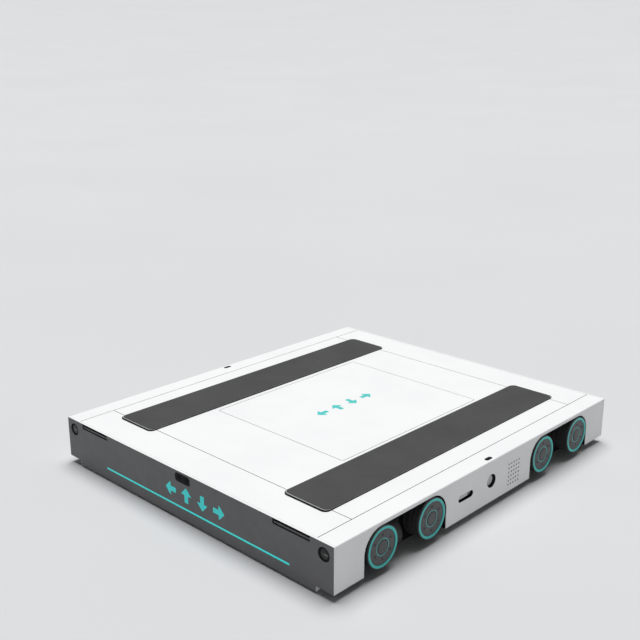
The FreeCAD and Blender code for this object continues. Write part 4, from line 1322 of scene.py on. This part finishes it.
@dataclass(frozen=True)
class RangeEye:
    """A round range sensor: a flanged barrel, a dark lens in its mouth and a grey bar on the lens that paints
    a reflection in the glass.
    """

    place: Span = (470.0, 104.0)
    mouth_radius: float = 17.0
    mouth_roll: float = 0.8
    mouth_steps: int = 64
    turn_steps: int = 72
    barrel: Corners = ((-40.0, 0, 0), (-40.0, 16.0, 1.0), (-14.0, 16.0, 0), (-14.0, 21.0, 0.6),
                       (-6.1, 21.0, 0.6), (-6.1, 16.6, 0), (-1.4, 16.6, 0.5), (-1.4, 12.8, 0.5),
                       (-3.6, 12.4, 0.2), (-3.6, 0, 0))
    lens_back: float = -3.8
    lens_rim: float = -2.8
    lens_rise: float = 0.8
    lens_radius: float = 12.2
    lens_steps: int = 12
    # A grey bar on the lens: a painted reflection of light in the glass.
    reflection_bar: tuple[Span, Span] = ((-2.5, 10.5), (-2.2, 2.2))
    reflection_bar_roll: float = 0.3
    reflection_bar_sunk: float = 1.7
    reflection_bar_thick: float = 1.4

    def middle(self, sign: int) -> Span:
        """Return the sensor's place on one side of the end's middle."""
        return sign * self.place[0], self.place[1]

    def mouth(self, sign: int) -> Loop:
        """Return the sensor's opening in the panel, on one side of the end's middle."""
        return opening(circle(self.middle(sign), self.mouth_radius, self.mouth_steps), self.mouth_roll)

    def surfaces(self, plane: Plane) -> tuple[Surface, Surface, Surface]:
        """Return the sensor's parts.

        Args:
            plane: the face of the end, with its origin at the sensor's middle.

        Returns:
            The barrel, the lens and the bar of painted reflection.
        """
        lens = lens_profile(self.lens_back, self.lens_rim, self.lens_rise, self.lens_radius, self.lens_steps)
        face = plane.moved(0, 0, -self.reflection_bar_sunk)
        bar = plate(stadium(*self.reflection_bar), self.reflection_bar_roll, self.reflection_bar_thick, face)
        return turned(self.barrel, plane, self.turn_steps), lathe(lens, plane, self.turn_steps), bar


@dataclass(frozen=True)
class ChargeContact:
    """A charging contact in its slot: a bar with two screws on a dark bed, under a thin lip; the near-black
    bed paints the shade at the back of the slot.
    """

    span: Span = (314.0, 430.0)
    height: Span = (117.5, 130.5)
    corner: float = 3.0
    corner_steps: int = 4
    mouth_roll: float = 0.15
    border: float = 3.0
    bar_height: Span = (120.0, 124.5)
    bar_corner: float = 1.2
    bar_roll: float = 0.5
    bar_sunk: float = 2.6
    bar_thick: float = 2.8
    bed_gap: float = 0.1
    bed_roll: float = 0.1
    bed_sunk: float = 5.3
    bed_thick: float = 0.6
    lip: float = 0.3
    lip_steps: int = 2
    lip_roll: float = 0.05
    screw: ScrewHead = ScrewHead(1.5, 0.3)
    screw_inset: float = 14.0
    screw_sunk: float = 2.7

    def mouth(self, sign: int) -> Loop:
        """Return the slot in the panel, on one side of the end's middle."""
        slot = rectangle(on_side(sign, self.span), self.height, self.corner, self.corner_steps)
        return opening(slot, self.mouth_roll)

    def surfaces(self, plane: Plane, sign: int, panel_top: float) -> tuple[Surface, Surface, Surface]:
        """Return the contact's parts.

        Args:
            plane: the face of the end.
            sign: the side of the middle that it is on.
            panel_top: height of the panel's upper edge, which the lip reaches.

        Returns:
            The bar, the dark bed of painted shade and the lip about it, and the two screws in it.
        """
        span, height = on_side(sign, self.span), self.height
        edge = rectangle(shrunk(span, self.border), self.bar_height, self.bar_corner, self.corner_steps)
        bar = plate(edge, self.bar_roll, self.bar_thick, plane.moved(0, 0, -self.bar_sunk))
        floor = rectangle(shrunk(span, self.bed_gap), shrunk(height, self.bed_gap), self.corner,
                          self.corner_steps)
        lip = rectangle(span, (height[1] - self.lip, panel_top), self.lip, self.lip_steps)
        bed = [plate(floor, self.bed_roll, self.bed_thick, plane.moved(0, 0, -self.bed_sunk)),
               plate(lip, self.lip_roll, self.lip, plane.moved(0, 0, self.lip / 2))]
        middle = sum(self.bar_height) / 2
        screws = [self.screw.on(plane.moved(place, middle, -self.screw_sunk))
                  for place in shrunk(span, self.screw_inset)]
        return bar, joined(bed), joined(screws)


@dataclass(frozen=True)
class EndPanels(SubAssembly):
    """The dark panel of each end in its thin white rim, with its light bar, windows and contacts."""

    half_width: float = PANEL_BOX.high[X]
    skirt: float = 448.0
    bottom: float = PANEL_BOX.low[Z]
    notch: float = BEAM_BOX.low[Z]
    top: float = PANEL_BOX.high[Z]
    thick: float = PANEL_BOX.size(Y)
    roll: float = 0.3
    corner: float = 1.5
    skirt_corner: float = 2.0
    corner_steps: int = 4
    rim: float = 0.8
    rim_gap: float = 0.6
    rim_depth: float = 6.1
    rim_corner: float = 2.5
    rim_steps: int = 6
    rim_roll: float = 0.25
    rim_clear: float = 0.1
    skirt_clear: float = 0.3
    light: LightBar = LightBar()
    window: VisionWindow = VisionWindow()
    eye: RangeEye = RangeEye()
    contact: ChargeContact = ChargeContact()

    @property
    def inset(self) -> float:
        """How far the panel's edge lies inside the rim's outer edge."""
        return self.rim + self.rim_gap

    def rim_band(self, plane: Plane) -> Surface:
        """Return the rim, thin bands round the sides, the top and the skirt's ends, level with the face.

        Args:
            plane: the face of the end.

        Returns:
            The three bands as one surface.
        """
        out, low, top = self.half_width, self.notch + self.rim_clear, self.top
        side, under, corner = out - self.rim, top - self.rim, self.rim_corner
        edge = rounded_corners([(-out, low, 0), (-side, low, 0), (-side, under, corner - self.rim),
                                (side, under, corner - self.rim), (side, low, 0), (out, low, 0),
                                (out, top, corner), (-out, top, corner)], self.rim_steps)
        bands = [plate(edge, self.rim_roll, self.rim_depth, plane)]
        height = (self.bottom + self.skirt_clear, self.notch - self.rim_clear)
        for sign in (-1, 1):
            end = rectangle(on_side(sign, (self.skirt, self.skirt - self.rim)), height, 0)
            bands.append(plate(end, self.rim_roll, self.rim_depth, plane))
        return joined(bands)

    def panel(self, plane: Plane) -> Surface:
        """Return the panel's sheet with all its openings, a fine gap inside the rim.

        Args:
            plane: the face of the end.

        Returns:
            The sheet.
        """
        half, skirt, top = (limit - self.inset for limit in (self.half_width, self.skirt, self.top))
        low, notch, corner = self.bottom, self.notch, self.corner
        edge = rounded_corners([(-half, notch, corner), (-skirt, notch, corner),
                                (-skirt, low, self.skirt_corner), (skirt, low, self.skirt_corner),
                                (skirt, notch, corner), (half, notch, corner),
                                (half, top, corner), (-half, top, corner)], self.corner_steps)
        loops = [Loop(edge, self.roll), self.light.mouth(), self.window.mouth()]
        for sign in (-1, 1):
            loops += [self.contact.mouth(sign), self.eye.mouth(sign)]
        return sheet(loops, self.thick, plane.lay)

    def build(self) -> None:
        """Make the pieces of both ends."""
        for end, plane in ENDS.items():
            name = end.name.lower()
            make_piece(f"{name}_panel_sheet", self.panel(plane), PANEL, [f"{name}_panel"])
            make_piece(f"{name}_light_diffuser", self.light.diffuser(plane), GLOW, ["light_bars"])
            make_piece(f"{name}_vision_window", self.window.glass(plane), LENS, ["vision_sensors"])
            make_piece(f"{name}_vision_rings", self.window.rings(plane), BLACK_AND_SHADE)
            for sign, side in ((-1, "low"), (1, "high")):
                barrel, lens, painted_reflection = self.eye.surfaces(plane.moved(*self.eye.middle(sign)))
                make_piece(f"{name}_range_barrel_{side}", barrel, BLACK_AND_SHADE, ["range_sensors"])
                make_piece(f"{name}_range_lens_{side}", lens, COVER)
                # The grey bar is a painted reflection in the lens.
                make_piece(f"{name}_range_core_{side}", painted_reflection, CONTACT_AND_REFLECTION)
                bar, bed, screws = self.contact.surfaces(plane, sign, self.top - self.inset)
                make_piece(f"{name}_contact_{side}", bar, CONTACT_AND_REFLECTION, ["contact_bars"])
                # The near-black bed paints the shade at the back of the contact's slot.
                make_piece(f"{name}_contact_bed_{side}", bed, BLACK_AND_SHADE)
                make_piece(f"{name}_contact_screws_{side}", screws, BLACK)
            make_piece(f"{name}_panel_rim", self.rim_band(plane), WHITE)


@dataclass(frozen=True)
class PadLayer:
    """One layer of a lift pad; step is how much narrower it is on each side, and shorter at each end."""

    name: str
    finish: Finish
    thick: float
    step: Span
    roll: float


@dataclass(frozen=True)
class LiftPads(SubAssembly):
    """The two long lift pads: rubber on a thin bright plate over a dark spacer, stepped at the ends. The
    near-black spacer paints the shadow gap under the plate, and the real plate's bright edge also paints the
    highlight along the pad's edge.
    """

    middle: float = PAD_BOX.middle(X)
    half_width: float = PAD_BOX.size(X) / 2
    half_length: float = PAD_BOX.high[Y]
    seat: float = PAD_BOX.low[Z]
    corner: float = 15.0
    corner_steps: int = 10
    # The near-black spacer is a painted shadow gap; the bright plate's edge is partly a painted highlight.
    layers: tuple[PadLayer, ...] = (PadLayer("spacer", BLACK_AND_SHADE, 2.6, (0.0, 0.0), 0.2),
                                    PadLayer("plate", PLATE, 0.6, (0.5, 3.0), 0.1),
                                    PadLayer("rubber", RUBBER, 0.8, (0.8, 5.2), 0.25))

    def layer(self, layer: PadLayer, middle: float, top: float) -> Surface:
        """Return one layer of a pad, a plate with round corners.

        Args:
            layer: which layer it is.
            middle: the pad's place across.
            top: height of the layer's upper face.

        Returns:
            The plate.
        """
        half, end = self.half_width - layer.step[0], self.half_length - layer.step[1]
        corner = self.corner - layer.step[0]
        edge = rectangle((middle - half, middle + half), about(end), corner, self.corner_steps)
        return plate(edge, layer.roll, layer.thick, GROUND.moved(0, 0, top))

    def build(self) -> None:
        """Make the layers of both pads, from the lowest up."""
        for side in Side:
            name = side.name.lower()
            top = self.seat
            for layer in self.layers:
                top += layer.thick
                piece = self.layer(layer, side.value * self.middle, top)
                make_piece(f"pad_{layer.name}_{name}", piece, layer.finish, [f"lift_pad_{name}"], "lift")


@dataclass(frozen=True)
class TravelWheels(SubAssembly):
    """The eight long-travel wheels: tyre, dished face, coloured rings and bolts.

    Depths of the face's corners run from the wheel's outer plane, and all others from its inner face. The
    groove's corners are offsets from its place on the tread.
    """

    inner: float = WHEEL_BOX.low[X]
    height: float = WHEEL_BOX.middle(Z)
    radius: float = WHEEL_BOX.size(Z) / 2
    width: float = WHEEL_BOX.size(X)
    count: int = 4
    turn_steps: int = 112
    fine_steps: int = 3
    rim: float = 40.0
    rim_rounding: float = 0.5
    shoulder: float = 2.6
    shoulder_rounding: Span = (1.2, 1.6)
    tyre_sunk: float = 0.4
    tyre_edge: float = 2.4
    tyre_edge_rounding: Span = (0.8, 0.2)
    tyre_seat: float = 4.0
    grooves: Span = (-5.4, 5.4)
    groove: Corners = ((-0.6, 0, 0.3), (0, -0.5, 0.2), (0.6, 0, 0.3))
    ring: Span = (42.8, 48.8)
    ring_sunk: float = 0.1
    thin_ring: Span = (19.4, 21.0)
    thin_ring_sunk: float = 1.45
    ring_seat: float = 3.2
    ring_rounding: float = 0.35
    drum: Corners = ((-10.0, 31.0, 0.5), (-10.0, 47.5, 1.0), (-8.5, 49.3, 0.8), (-0.3, 49.3, 0.3),
                     (-0.3, 31.0, 0.3))
    drum_steps: int = 96
    back: Corners = ((0.6, 39.0, 0.5), (3.5, 40.2, 0.5))
    face: Corners = ((-4.2, 40.2, 0), (-4.2, 48.6, 0), (-3.0, 48.6, 0), (-3.0, 42.8, 0.2), (-1.3, 42.7, 0.4),
                     (-1.7, 17.5, 0.3), (-2.6, 16.9, 0.2), (-2.6, 15.8, 0.2), (-1.0, 15.2, 0.5),
                     (-0.5, 9.0, 3.0), (-0.4, 0, 0))
    free_bore: float = 21.1
    driven_bore: float = 12.1
    bore_floor: float = 6.0
    bore_rounding: Span = (0.5, 0.3)
    bolt: ScrewHead = ScrewHead(3.0, 0.7)
    bolt_circle: float = 30.0
    bolt_seat: float = 1.5
    bolts: int = 6

    def tyre(self, plane: Plane) -> Surface:
        """Return the tyre, a band with rounded shoulders and a shallow groove on each side of its middle.

        Args:
            plane: the wheel's inner face, with depth along its axle.

        Returns:
            The tyre.
        """
        w, r, rim, step, outer = self.width, self.radius, self.rim, self.shoulder, self.ring[1]
        front, seat, soft = w - self.tyre_sunk, w - self.tyre_seat, self.rim_rounding
        (side, tread), (lip, face) = self.shoulder_rounding, self.tyre_edge_rounding
        grooves = [(w / 2 + place + along, r + rise, rounding)
                   for place in self.grooves for along, rise, rounding in self.groove]
        return turned([(0, rim, soft), (0, r - step, side), (step, r, tread), *grooves, (w - step, r, tread),
                       (front, r - self.tyre_edge, lip), (front, outer, face), (seat, outer, soft),
                       (seat, rim, soft)], plane, self.turn_steps, ring=True)

    def hub(self, plane: Plane, bore: float) -> Surface:
        """Return the wheel body: dished face, hub cap, a groove round it and the bore at the back.

        Args:
            plane: the wheel's inner face, with depth along its axle.
            bore: radius of the bore.

        Returns:
            The wheel body.
        """
        floor, mouth = self.width - self.bore_floor, self.back[0][0]
        root, lip = self.bore_rounding
        bored = [(floor, 0, 0), (floor, bore, root), (mouth, bore, lip)]
        face = [(self.width + depth, radius, rounding) for depth, radius, rounding in self.face]
        return turned([*bored, *self.back, *face], plane, self.turn_steps, steps=self.fine_steps)

    def band(self, plane: Plane, span: Span, sunk: float) -> Surface:
        """Return a flat coloured ring with softened edges.

        Args:
            plane: the wheel's inner face, with depth along its axle.
            span: the ring's inner and outer radius.
            sunk: how far its face lies behind the wheel's widest plane.

        Returns:
            The ring.
        """
        back, front, rounding = self.width - self.ring_seat, self.width - sunk, self.ring_rounding
        low, high = span
        return turned([(back, low, 0), (back, high, 0), (front, high, rounding), (front, low, rounding)],
                      plane, self.turn_steps, ring=True, steps=self.fine_steps)

    def heads(self, plane: Plane) -> Surface:
        """Return the ring of bolt heads on the face, at even angles.

        Args:
            plane: the wheel's inner face, with depth along its axle.

        Returns:
            All the heads as one surface.
        """
        angle = np.arange(self.bolts) * 2 * np.pi / self.bolts + np.pi / self.bolts
        places = self.bolt_circle * np.stack([np.cos(angle), np.sin(angle)], axis=1)
        return joined([self.bolt.on(plane.moved(u, v, self.width - self.bolt_seat)) for u, v in places])

    def build(self) -> None:
        """Make all eight wheels; a wheel that isn't a body of its own sits on the drive axle."""
        for side in Side:
            for number in range(1, self.count + 1):
                node = f"travel_wheel_{side.name.lower()}_{number}"
                body = BODY_OF[node]
                bore = self.free_bore if body == node else self.driven_bore
                plane = Plane((side.value * self.inner, NodeBox.of(node).middle(Y), self.height),
                              (0, side.value, 0), (0, 0, 1))
                drum = turned(self.drum, plane, self.drum_steps, ring=True)
                make_piece(f"{node}_tyre", self.tyre(plane), TREAD, [node], body)
                make_piece(f"{node}_drum", drum, HUB, (), body)
                make_piece(f"{node}_face", self.hub(plane, bore), HUB, [node], body)
                make_piece(f"{node}_ring", self.band(plane, self.ring, self.ring_sunk), TEAL, [node], body)
                thin = self.band(plane, self.thin_ring, self.thin_ring_sunk)
                make_piece(f"{node}_inner_ring", thin, TEAL, (), body)
                make_piece(f"{node}_bolts", self.heads(plane), BLACK, (), body)


@dataclass(frozen=True)
class CrossWheels(SubAssembly):
    """The four cross-travel wheels, each with a belt pulley on its outer side."""

    across: float = CROSS_BOX.middle(X)
    near: float = CROSS_BOX.low[Y]
    height: float = CROSS_BOX.middle(Z)
    radius: float = CROSS_BOX.size(Z) / 2
    width: float = 36.0
    rim: float = 35.0
    edge: float = 0.4
    edge_rounding: float = 0.4
    shoulder: float = 3.0
    shoulder_rounding: Span = (1.2, 1.6)
    hub: Corners = ((0.2, 8.06, 0.3), (0.2, 15.0, 0.5), (3.5, 17.0, 0.8), (3.5, 31.0, 0.8), (0.8, 32.5, 0.5),
                    (0.8, 35.2, 0.3), (35.2, 35.2, 0.3), (35.2, 32.5, 0.5), (33.0, 31.0, 0.8),
                    (33.0, 21.4, 0.5), (36.2, 21.4, 0.3), (37.2, 20.0, 0.2), (47.8, 20.0, 0.2),
                    (48.4, 20.0, 0.3), (49.0, 8.06, 0.3))
    turn_steps: int = 96

    def tyre(self, plane: Plane) -> Surface:
        """Return the tyre, a band with rounded shoulders.

        Args:
            plane: the wheel's inner face, with depth along its axle.

        Returns:
            The tyre.
        """
        r, w, step, rim = self.radius, self.width, self.shoulder, self.rim
        (side, tread), soft = self.shoulder_rounding, self.edge_rounding
        return turned([(self.edge, rim, soft), (0, r - step, side), (step, r, tread), (w - step, r, tread),
                       (w, r - step, side), (w - self.edge, rim, soft)], plane, self.turn_steps, ring=True)

    def build(self) -> None:
        """Make each wheel's tyre, and its hub with the pulley."""
        for end in End:
            for side in Side:
                plane = Plane((side.value * self.across, end.value * self.near, self.height),
                              (-end.value, 0, 0), (0, 0, 1))
                node = f"cross_wheel_{end.name.lower()}_{side.name.lower()}"
                hub = turned(self.hub, plane, self.turn_steps, ring=True)
                make_piece(f"{node}_tyre", self.tyre(plane), TREAD, [node], BODY_OF[node])
                make_piece(f"{node}_hub", hub, ALLOY, [node], BODY_OF[node])


def oval(size: Span, inset: float = 0.0) -> np.ndarray:
    """Return a slot of a length and a width about zero, moved inwards by an inset."""
    length, width = size
    return stadium(shrunk(about(length / 2), inset), shrunk(about(width / 2), inset))


@dataclass(frozen=True)
class PowerButton(SubAssembly):
    """The power button: a bezel in the skin, a dark cup that is pressed and a pale cap in the cup; the cup's
    near-black walls paint the shade in the recess round the cap.
    """

    turn_steps: int = 72
    bezel: Corners = ((-13.0, 16.1, 0.2), (-13.0, 17.9, 0.2), (-0.6, 17.9, 0.3), (-0.9, 16.1, 0.3))
    cup: Corners = ((-22.0, 0, 0), (-22.0, 15.9, 0.5), (-4.0, 15.9, 0.5), (-4.0, 14.3, 0.5),
                    (-8.4, 14.0, 0.2), (-8.4, 0, 0))
    cap: Corners = ((-8.5, 0, 0), (-8.5, 13.5, 0.2), (-6.8, 13.3, 0.7), (-7.4, 0, 0))

    def build(self) -> None:
        """Make the bezel, the cup and the cap."""
        place = RIGHT_SIDE.moved(*LAYOUT.button)
        node = "power_button"
        make_piece(f"{node}_bezel", turned(self.bezel, place, self.turn_steps, ring=True), BLACK_AND_SHADE)
        # The cup's near-black walls paint the shade in the recess round the cap.
        make_piece(f"{node}_cup", turned(self.cup, place, self.turn_steps), BLACK_AND_SHADE, [node], BODY_OF[node])
        make_piece(f"{node}_cap", turned(self.cap, place, self.turn_steps), PALE, [node], BODY_OF[node])


@dataclass(frozen=True)
class ChargePort(SubAssembly):
    """The inside of the charge port: a near-black lining that paints the shade on the port's walls and back,
    a pale block and two contact pins.
    """

    size: Span = LAYOUT.port_size
    roll: float = 0.2
    floor: float = -14.0
    gap: float = 0.1
    wall: float = 0.8
    sunk: float = 0.8
    shade_lining_depth: float = 9.0
    bed_gap: float = 0.5
    bed_thick: float = 0.4
    block_face: float = -4.5
    block_roll: float = 0.5
    block_steps: int = 6
    block: Corners = ((-28.0, -3.05, 2.0), (12.0, -3.05, 1.0), (12.0, 7.3, 1.0), (-28.0, 7.3, 5.0))
    pins: Span = (17.0, 24.0)
    pin: Corners = ((-14.0, 0, 0), (-14.0, 2.0, 0.1), (-6.0, 2.0, 0.6), (-5.6, 0, 0))
    pin_steps: int = 24

    def shade_lining(self, plane: Plane) -> Surface:
        """Return the lining of the port's wall and the bed at its back, both painted shade.

        Args:
            plane: the skin, with its origin at the port's middle.

        Returns:
            Both as one surface.
        """
        edge = Loop(oval(self.size, self.gap), self.roll)
        mouth = opening(oval(self.size, self.gap + self.wall), self.roll)
        back = plane.moved(0, 0, self.floor + self.bed_gap)
        return joined([sheet([edge, mouth], self.shade_lining_depth, plane.moved(0, 0, -self.sunk).lay),
                       plate(oval(self.size, self.bed_gap), self.roll, self.bed_thick, back)])

    def build(self) -> None:
        """Make the lining, the block and the pins."""
        plane = RIGHT_SIDE.moved(*LAYOUT.port)
        # The near-black lining paints the shade inside the port.
        make_piece("charge_port_lining", self.shade_lining(plane), BLACK_AND_SHADE)
        outline = rounded_corners(self.block, self.block_steps)
        face = plane.moved(0, 0, self.block_face)
        block = plate(outline, self.block_roll, self.block_face - self.floor, face)
        make_piece("charge_port_block", block, PALE)
        pins = [turned(self.pin, plane.moved(place, 0), self.pin_steps) for place in self.pins]
        make_piece("charge_port_pins", joined(pins), ALLOY)


@dataclass(frozen=True)
class EyeLayer:
    """One layer of a pallet sensor's body: an oval block, with its face below the deck."""

    size: Span
    sunk: float
    depth: float


@dataclass(frozen=True)
class PalletEyes(SubAssembly):
    """The two pallet sensors, each a flat body with a collar, a bezel and two lenses."""

    layers: tuple[EyeLayer, ...] = (EyeLayer((22.0, 9.0), 0.5, 28.0), EyeLayer((26.0, 13.0), 5.1, 8.0))
    roll: float = 0.3
    bezel_size: Span = (25.5, 12.0)
    bezel_mouth: Span = (21.0, 8.0)
    bezel_roll: float = 0.1
    bezel_rise: float = 0.2
    bezel_thick: float = 0.3
    lenses: Span = (-5.5, 5.5)
    lens_back: float = -1.4
    lens_rim: float = -0.6
    lens_rise: float = 0.45
    lens_radius: float = 3.0
    lens_steps: int = 8
    turn_steps: int = 32

    def bodies(self, plane: Plane) -> list[Surface]:
        """Return the layers of one sensor's body, and the bezel on them.

        Args:
            plane: the deck, with its origin at the sensor's middle.

        Returns:
            One surface a layer, and the bezel.
        """
        found = [plate(oval(layer.size), self.roll, layer.depth, plane.moved(0, 0, -layer.sunk))
                 for layer in self.layers]
        edge = Loop(oval(self.bezel_size), self.bezel_roll)
        mouth = opening(oval(self.bezel_mouth), self.bezel_roll)
        return found + [sheet([edge, mouth], self.bezel_thick, plane.moved(0, 0, self.bezel_rise).lay)]

    def build(self) -> None:
        """Make both sensors, at places that are half a turn apart."""
        glass = lens_profile(self.lens_back, self.lens_rim, self.lens_rise, self.lens_radius, self.lens_steps)
        across, along = LAYOUT.eye
        bodies, lenses = [], []
        for side in Side:
            plane = Plane((side.value * across, side.value * along, DECK.origin[Z]), (0, 1, 0), (-1, 0, 0))
            bodies += self.bodies(plane)
            lenses += [lathe(glass, plane.moved(place, 0), self.turn_steps) for place in self.lenses]
        make_piece("pallet_eye_bodies", joined(bodies), BLACK_AND_SHADE, ["pallet_sensors"])
        make_piece("pallet_eye_lenses", joined(lenses), LENS)


@dataclass(frozen=True)
class DirectionMarks(SubAssembly):
    """A row of four plain arrows, one for each way of travel, on the front, the rear and the hatch. The end
    arrows glow as painted light, though they are no lamp.
    """

    size: float = 40.0
    shaft: float = 6.8
    tip: float = 1.5
    notch: float = 0.6
    corner_steps: int = 5
    pitch: float = 60.0
    film: float = 0.25
    sunk: float = 0.2
    roll: float = 0.1
    end_place: Span = (43.0, 76.0)
    top_place: Span = (-12.0, 22.0)

    def arrows(self, plane: Plane) -> Surface:
        """Return the four arrows along a plane's first direction, one outline turned by quarter turns.

        Args:
            plane: the face that they lie on, with its origin at the row's middle.

        Returns:
            All four films as one surface.
        """
        h, s, tip, notch = self.size / 2, self.shaft, self.tip, self.notch
        outline = rounded_corners([(0, h, tip), (-h, 0, tip), (-s, 0, notch), (-s, -h, tip),
                                   (s, -h, tip), (s, 0, notch), (h, 0, tip)], self.corner_steps)
        films = []
        for number, way in enumerate(Way):
            turn = np.pi / 2 * way.value
            spin = np.array([(np.cos(turn), np.sin(turn)), (-np.sin(turn), np.cos(turn))])
            place = plane.moved(self.pitch * (number - (len(Way) - 1) / 2), 0, self.film)
            films.append(plate(outline @ spin, self.roll, self.film + self.sunk, place))
        return joined(films)

    def build(self) -> None:
        """Make the marks."""
        for end, plane in ENDS.items():
            # The end arrows' film glows as painted light.
            make_piece(f"{end.name.lower()}_arrows", self.arrows(plane.moved(*self.end_place)), GLOWING_FILM)
        top = Plane((*self.top_place, DECK.origin[Z]), (0, 1, 0), (-1, 0, 0))
        make_piece("hatch_arrows", self.arrows(top), TEAL)


@dataclass(frozen=True)
class BellyScrews(SubAssembly):
    """The screw heads on the underside of the tray."""

    half_width: float = 425.0
    half_length: float = 545.0
    columns: int = 7
    rows: int = 9
    wheel_hole: Span = (285.0, 385.0)
    screw: ScrewHead = ScrewHead(4.5, 1.4)

    def build(self) -> None:
        """Make one row of screws along each edge of the underside, clear of the cross wheels' holes."""
        across = np.linspace(-self.half_width, self.half_width, self.columns)
        along = np.linspace(-self.half_length, self.half_length, self.rows)[1:-1]
        ends = [(u, sign * self.half_length) for sign in (-1, 1) for u in across]
        near, far = self.wheel_hole
        clear = [v for v in along if not near < abs(v) < far]
        sides = [(sign * self.half_width, v) for sign in (-1, 1) for v in clear]
        heads = [self.screw.on(BELLY.moved(u, v)) for u, v in ends + sides]
        make_piece("belly_screws", joined(heads), STEEL)


@dataclass(frozen=True)
class Machinery(SubAssembly):
    """Everything else: the nodes whose own shape is right, which only get their finish."""

    # The carriers, whose near-black finish paints the shade inside the wheel wells.
    dark: tuple[str, ...] = ("cross_carrier_front", "cross_carrier_rear")

    def build(self) -> None:
        """Give every node the finish of its slot, and the carriers a near-black one that paints the shade
        inside the wheel wells.
        """
        for name, node in frame["nodes"].items():
            finish = CARRIER_SHADE if name in self.dark else FINISHES[SLOT_OF[name]]
            material = finish.material()
            node.data.materials.clear()
            node.data.materials.append(material)
            log.info("%s: %s", name, material.name)


@dataclass(frozen=True)
class Studio:
    """A pale floor that rises slowly all round, an overhead light, a soft surround and the camera."""

    floor_radius: float = 8.0
    rim_radius: float = 40.0
    rim_height: float = 4.0
    rim_steps: int = 24
    floor_drift: float = 0.98
    floor_colour: Colour = (0.66, 0.67, 0.68)
    sun: float = 3.05
    sun_angle: float = math.radians(40)
    sun_tilt: Span = (-0.12, 0.12)
    surround: float = 0.14
    backdrop: Colour = (0.725, 0.735, 0.745)
    azimuth: float = math.radians(43.832)
    elevation: float = math.radians(17.028)
    roll: float = math.radians(-0.044)
    position: Point = (1.68405, -1.84484, 1.15475)
    sensor: float = 36.0
    focal_pixels: float = 955.77
    image_pixels: float = 640.0

    def floor(self) -> None:
        """Make the floor: a disc whose rim rises with the square of the way past its edge."""
        share = np.linspace(1, 0, self.rim_steps + 1)
        reach = self.floor_radius + (self.rim_radius - self.floor_radius) * share
        rim = np.stack([self.rim_height * share**2, reach], axis=1)
        profile = np.concatenate([rim, [(0, self.floor_radius / 2), (0, 0)]])
        surface = lathe(profile, GROUND)
        mesh = bpy.data.meshes.new("floor")
        mesh.from_pydata(surface.points.tolist(), [], surface.faces[0].tolist())
        mesh.polygons.foreach_set("use_smooth", np.ones(len(mesh.polygons), bool))
        tone = tuple(self.floor_drift * channel for channel in self.floor_colour)
        finish = Finish("studio_floor", "", self.floor_colour, tone, tone, (0.75, 0.85), patches=0.6,
                        grains=200.0, relief=0.00001, specks=0.0, specular=0.2)
        mesh.materials.append(finish.material())
        floor = bpy.data.objects.new("floor", mesh)
        bpy.context.scene.collection.objects.link(floor)

    def light(self) -> None:
        """Make the wide overhead light and the even surround."""
        lamp = bpy.data.lights.new("overhead", "SUN")
        lamp.energy = self.sun
        lamp.angle = self.sun_angle
        holder = bpy.data.objects.new("overhead", lamp)
        toward = Vector((*self.sun_tilt, 1.0))
        holder.rotation_mode = "QUATERNION"
        holder.rotation_quaternion = toward.to_track_quat("Z", "Y")
        bpy.context.scene.collection.objects.link(holder)
        bpy.context.scene.world = self.sky()

    def sky(self) -> bpy.types.World:
        """Return the world: a dim even light that the camera and mirrors see as the pale backdrop.

        Returns:
            The new world.
        """
        world = bpy.data.worlds.new("surround")
        world.use_nodes = True
        tree = world.node_tree
        dim = tree.nodes["Background"]
        dim.inputs["Color"].default_value = (1.0, 1.0, 1.0, 1.0)
        dim.inputs["Strength"].default_value = self.surround
        pale = tree.nodes.new("ShaderNodeBackground")
        pale.inputs["Color"].default_value = (*self.backdrop, 1.0)
        path = tree.nodes.new("ShaderNodeLightPath")
        seen = path.outputs["Is Camera Ray"]
        for kind in ("Is Glossy Ray", "Is Transmission Ray"):
            either = tree.nodes.new("ShaderNodeMath")
            either.operation = "MAXIMUM"
            tree.links.new(seen, either.inputs[0])
            tree.links.new(path.outputs[kind], either.inputs[1])
            seen = either.outputs[0]
        choice = tree.nodes.new("ShaderNodeMixShader")
        tree.links.new(seen, choice.inputs[0])
        tree.links.new(dim.outputs[0], choice.inputs[1])
        tree.links.new(pale.outputs[0], choice.inputs[2])
        tree.links.new(choice.outputs[0], tree.nodes["World Output"].inputs["Surface"])
        return world

    def camera(self) -> None:
        """Make the camera at the photograph's place and angle."""
        lens = bpy.data.cameras.new("camera")
        lens.sensor_width = self.sensor
        lens.lens = self.focal_pixels / self.image_pixels * self.sensor
        holder = bpy.data.objects.new("camera", lens)
        level, fall = math.cos(self.elevation), math.sin(self.elevation)
        look = Vector((-math.sin(self.azimuth) * level, math.cos(self.azimuth) * level, -fall))
        aim = look.to_track_quat("-Z", "Y").to_matrix() @ Matrix.Rotation(self.roll, 3, "Z")
        holder.matrix_world = Matrix.Translation(self.position) @ aim.to_4x4()
        bpy.context.scene.collection.objects.link(holder)
        bpy.context.scene.camera = holder

    def build(self) -> None:
        """Make the floor, the light and the camera."""
        self.floor()
        self.light()
        self.camera()
        bpy.context.scene.view_settings.view_transform = "Standard"


def main() -> None:
    """Build every group in order."""
    logging.basicConfig(level=logging.INFO, format="%(message)s")
    Studio().build()
    groups = (Machinery(), SideBeams(), TopCovers(), EndPanels(), LiftPads(), TravelWheels(), CrossWheels(),
              PowerButton(), ChargePort(), PalletEyes(), DirectionMarks(), BellyScrews())
    for group in groups:
        group.build()


if __name__ == "__main__":
    main()
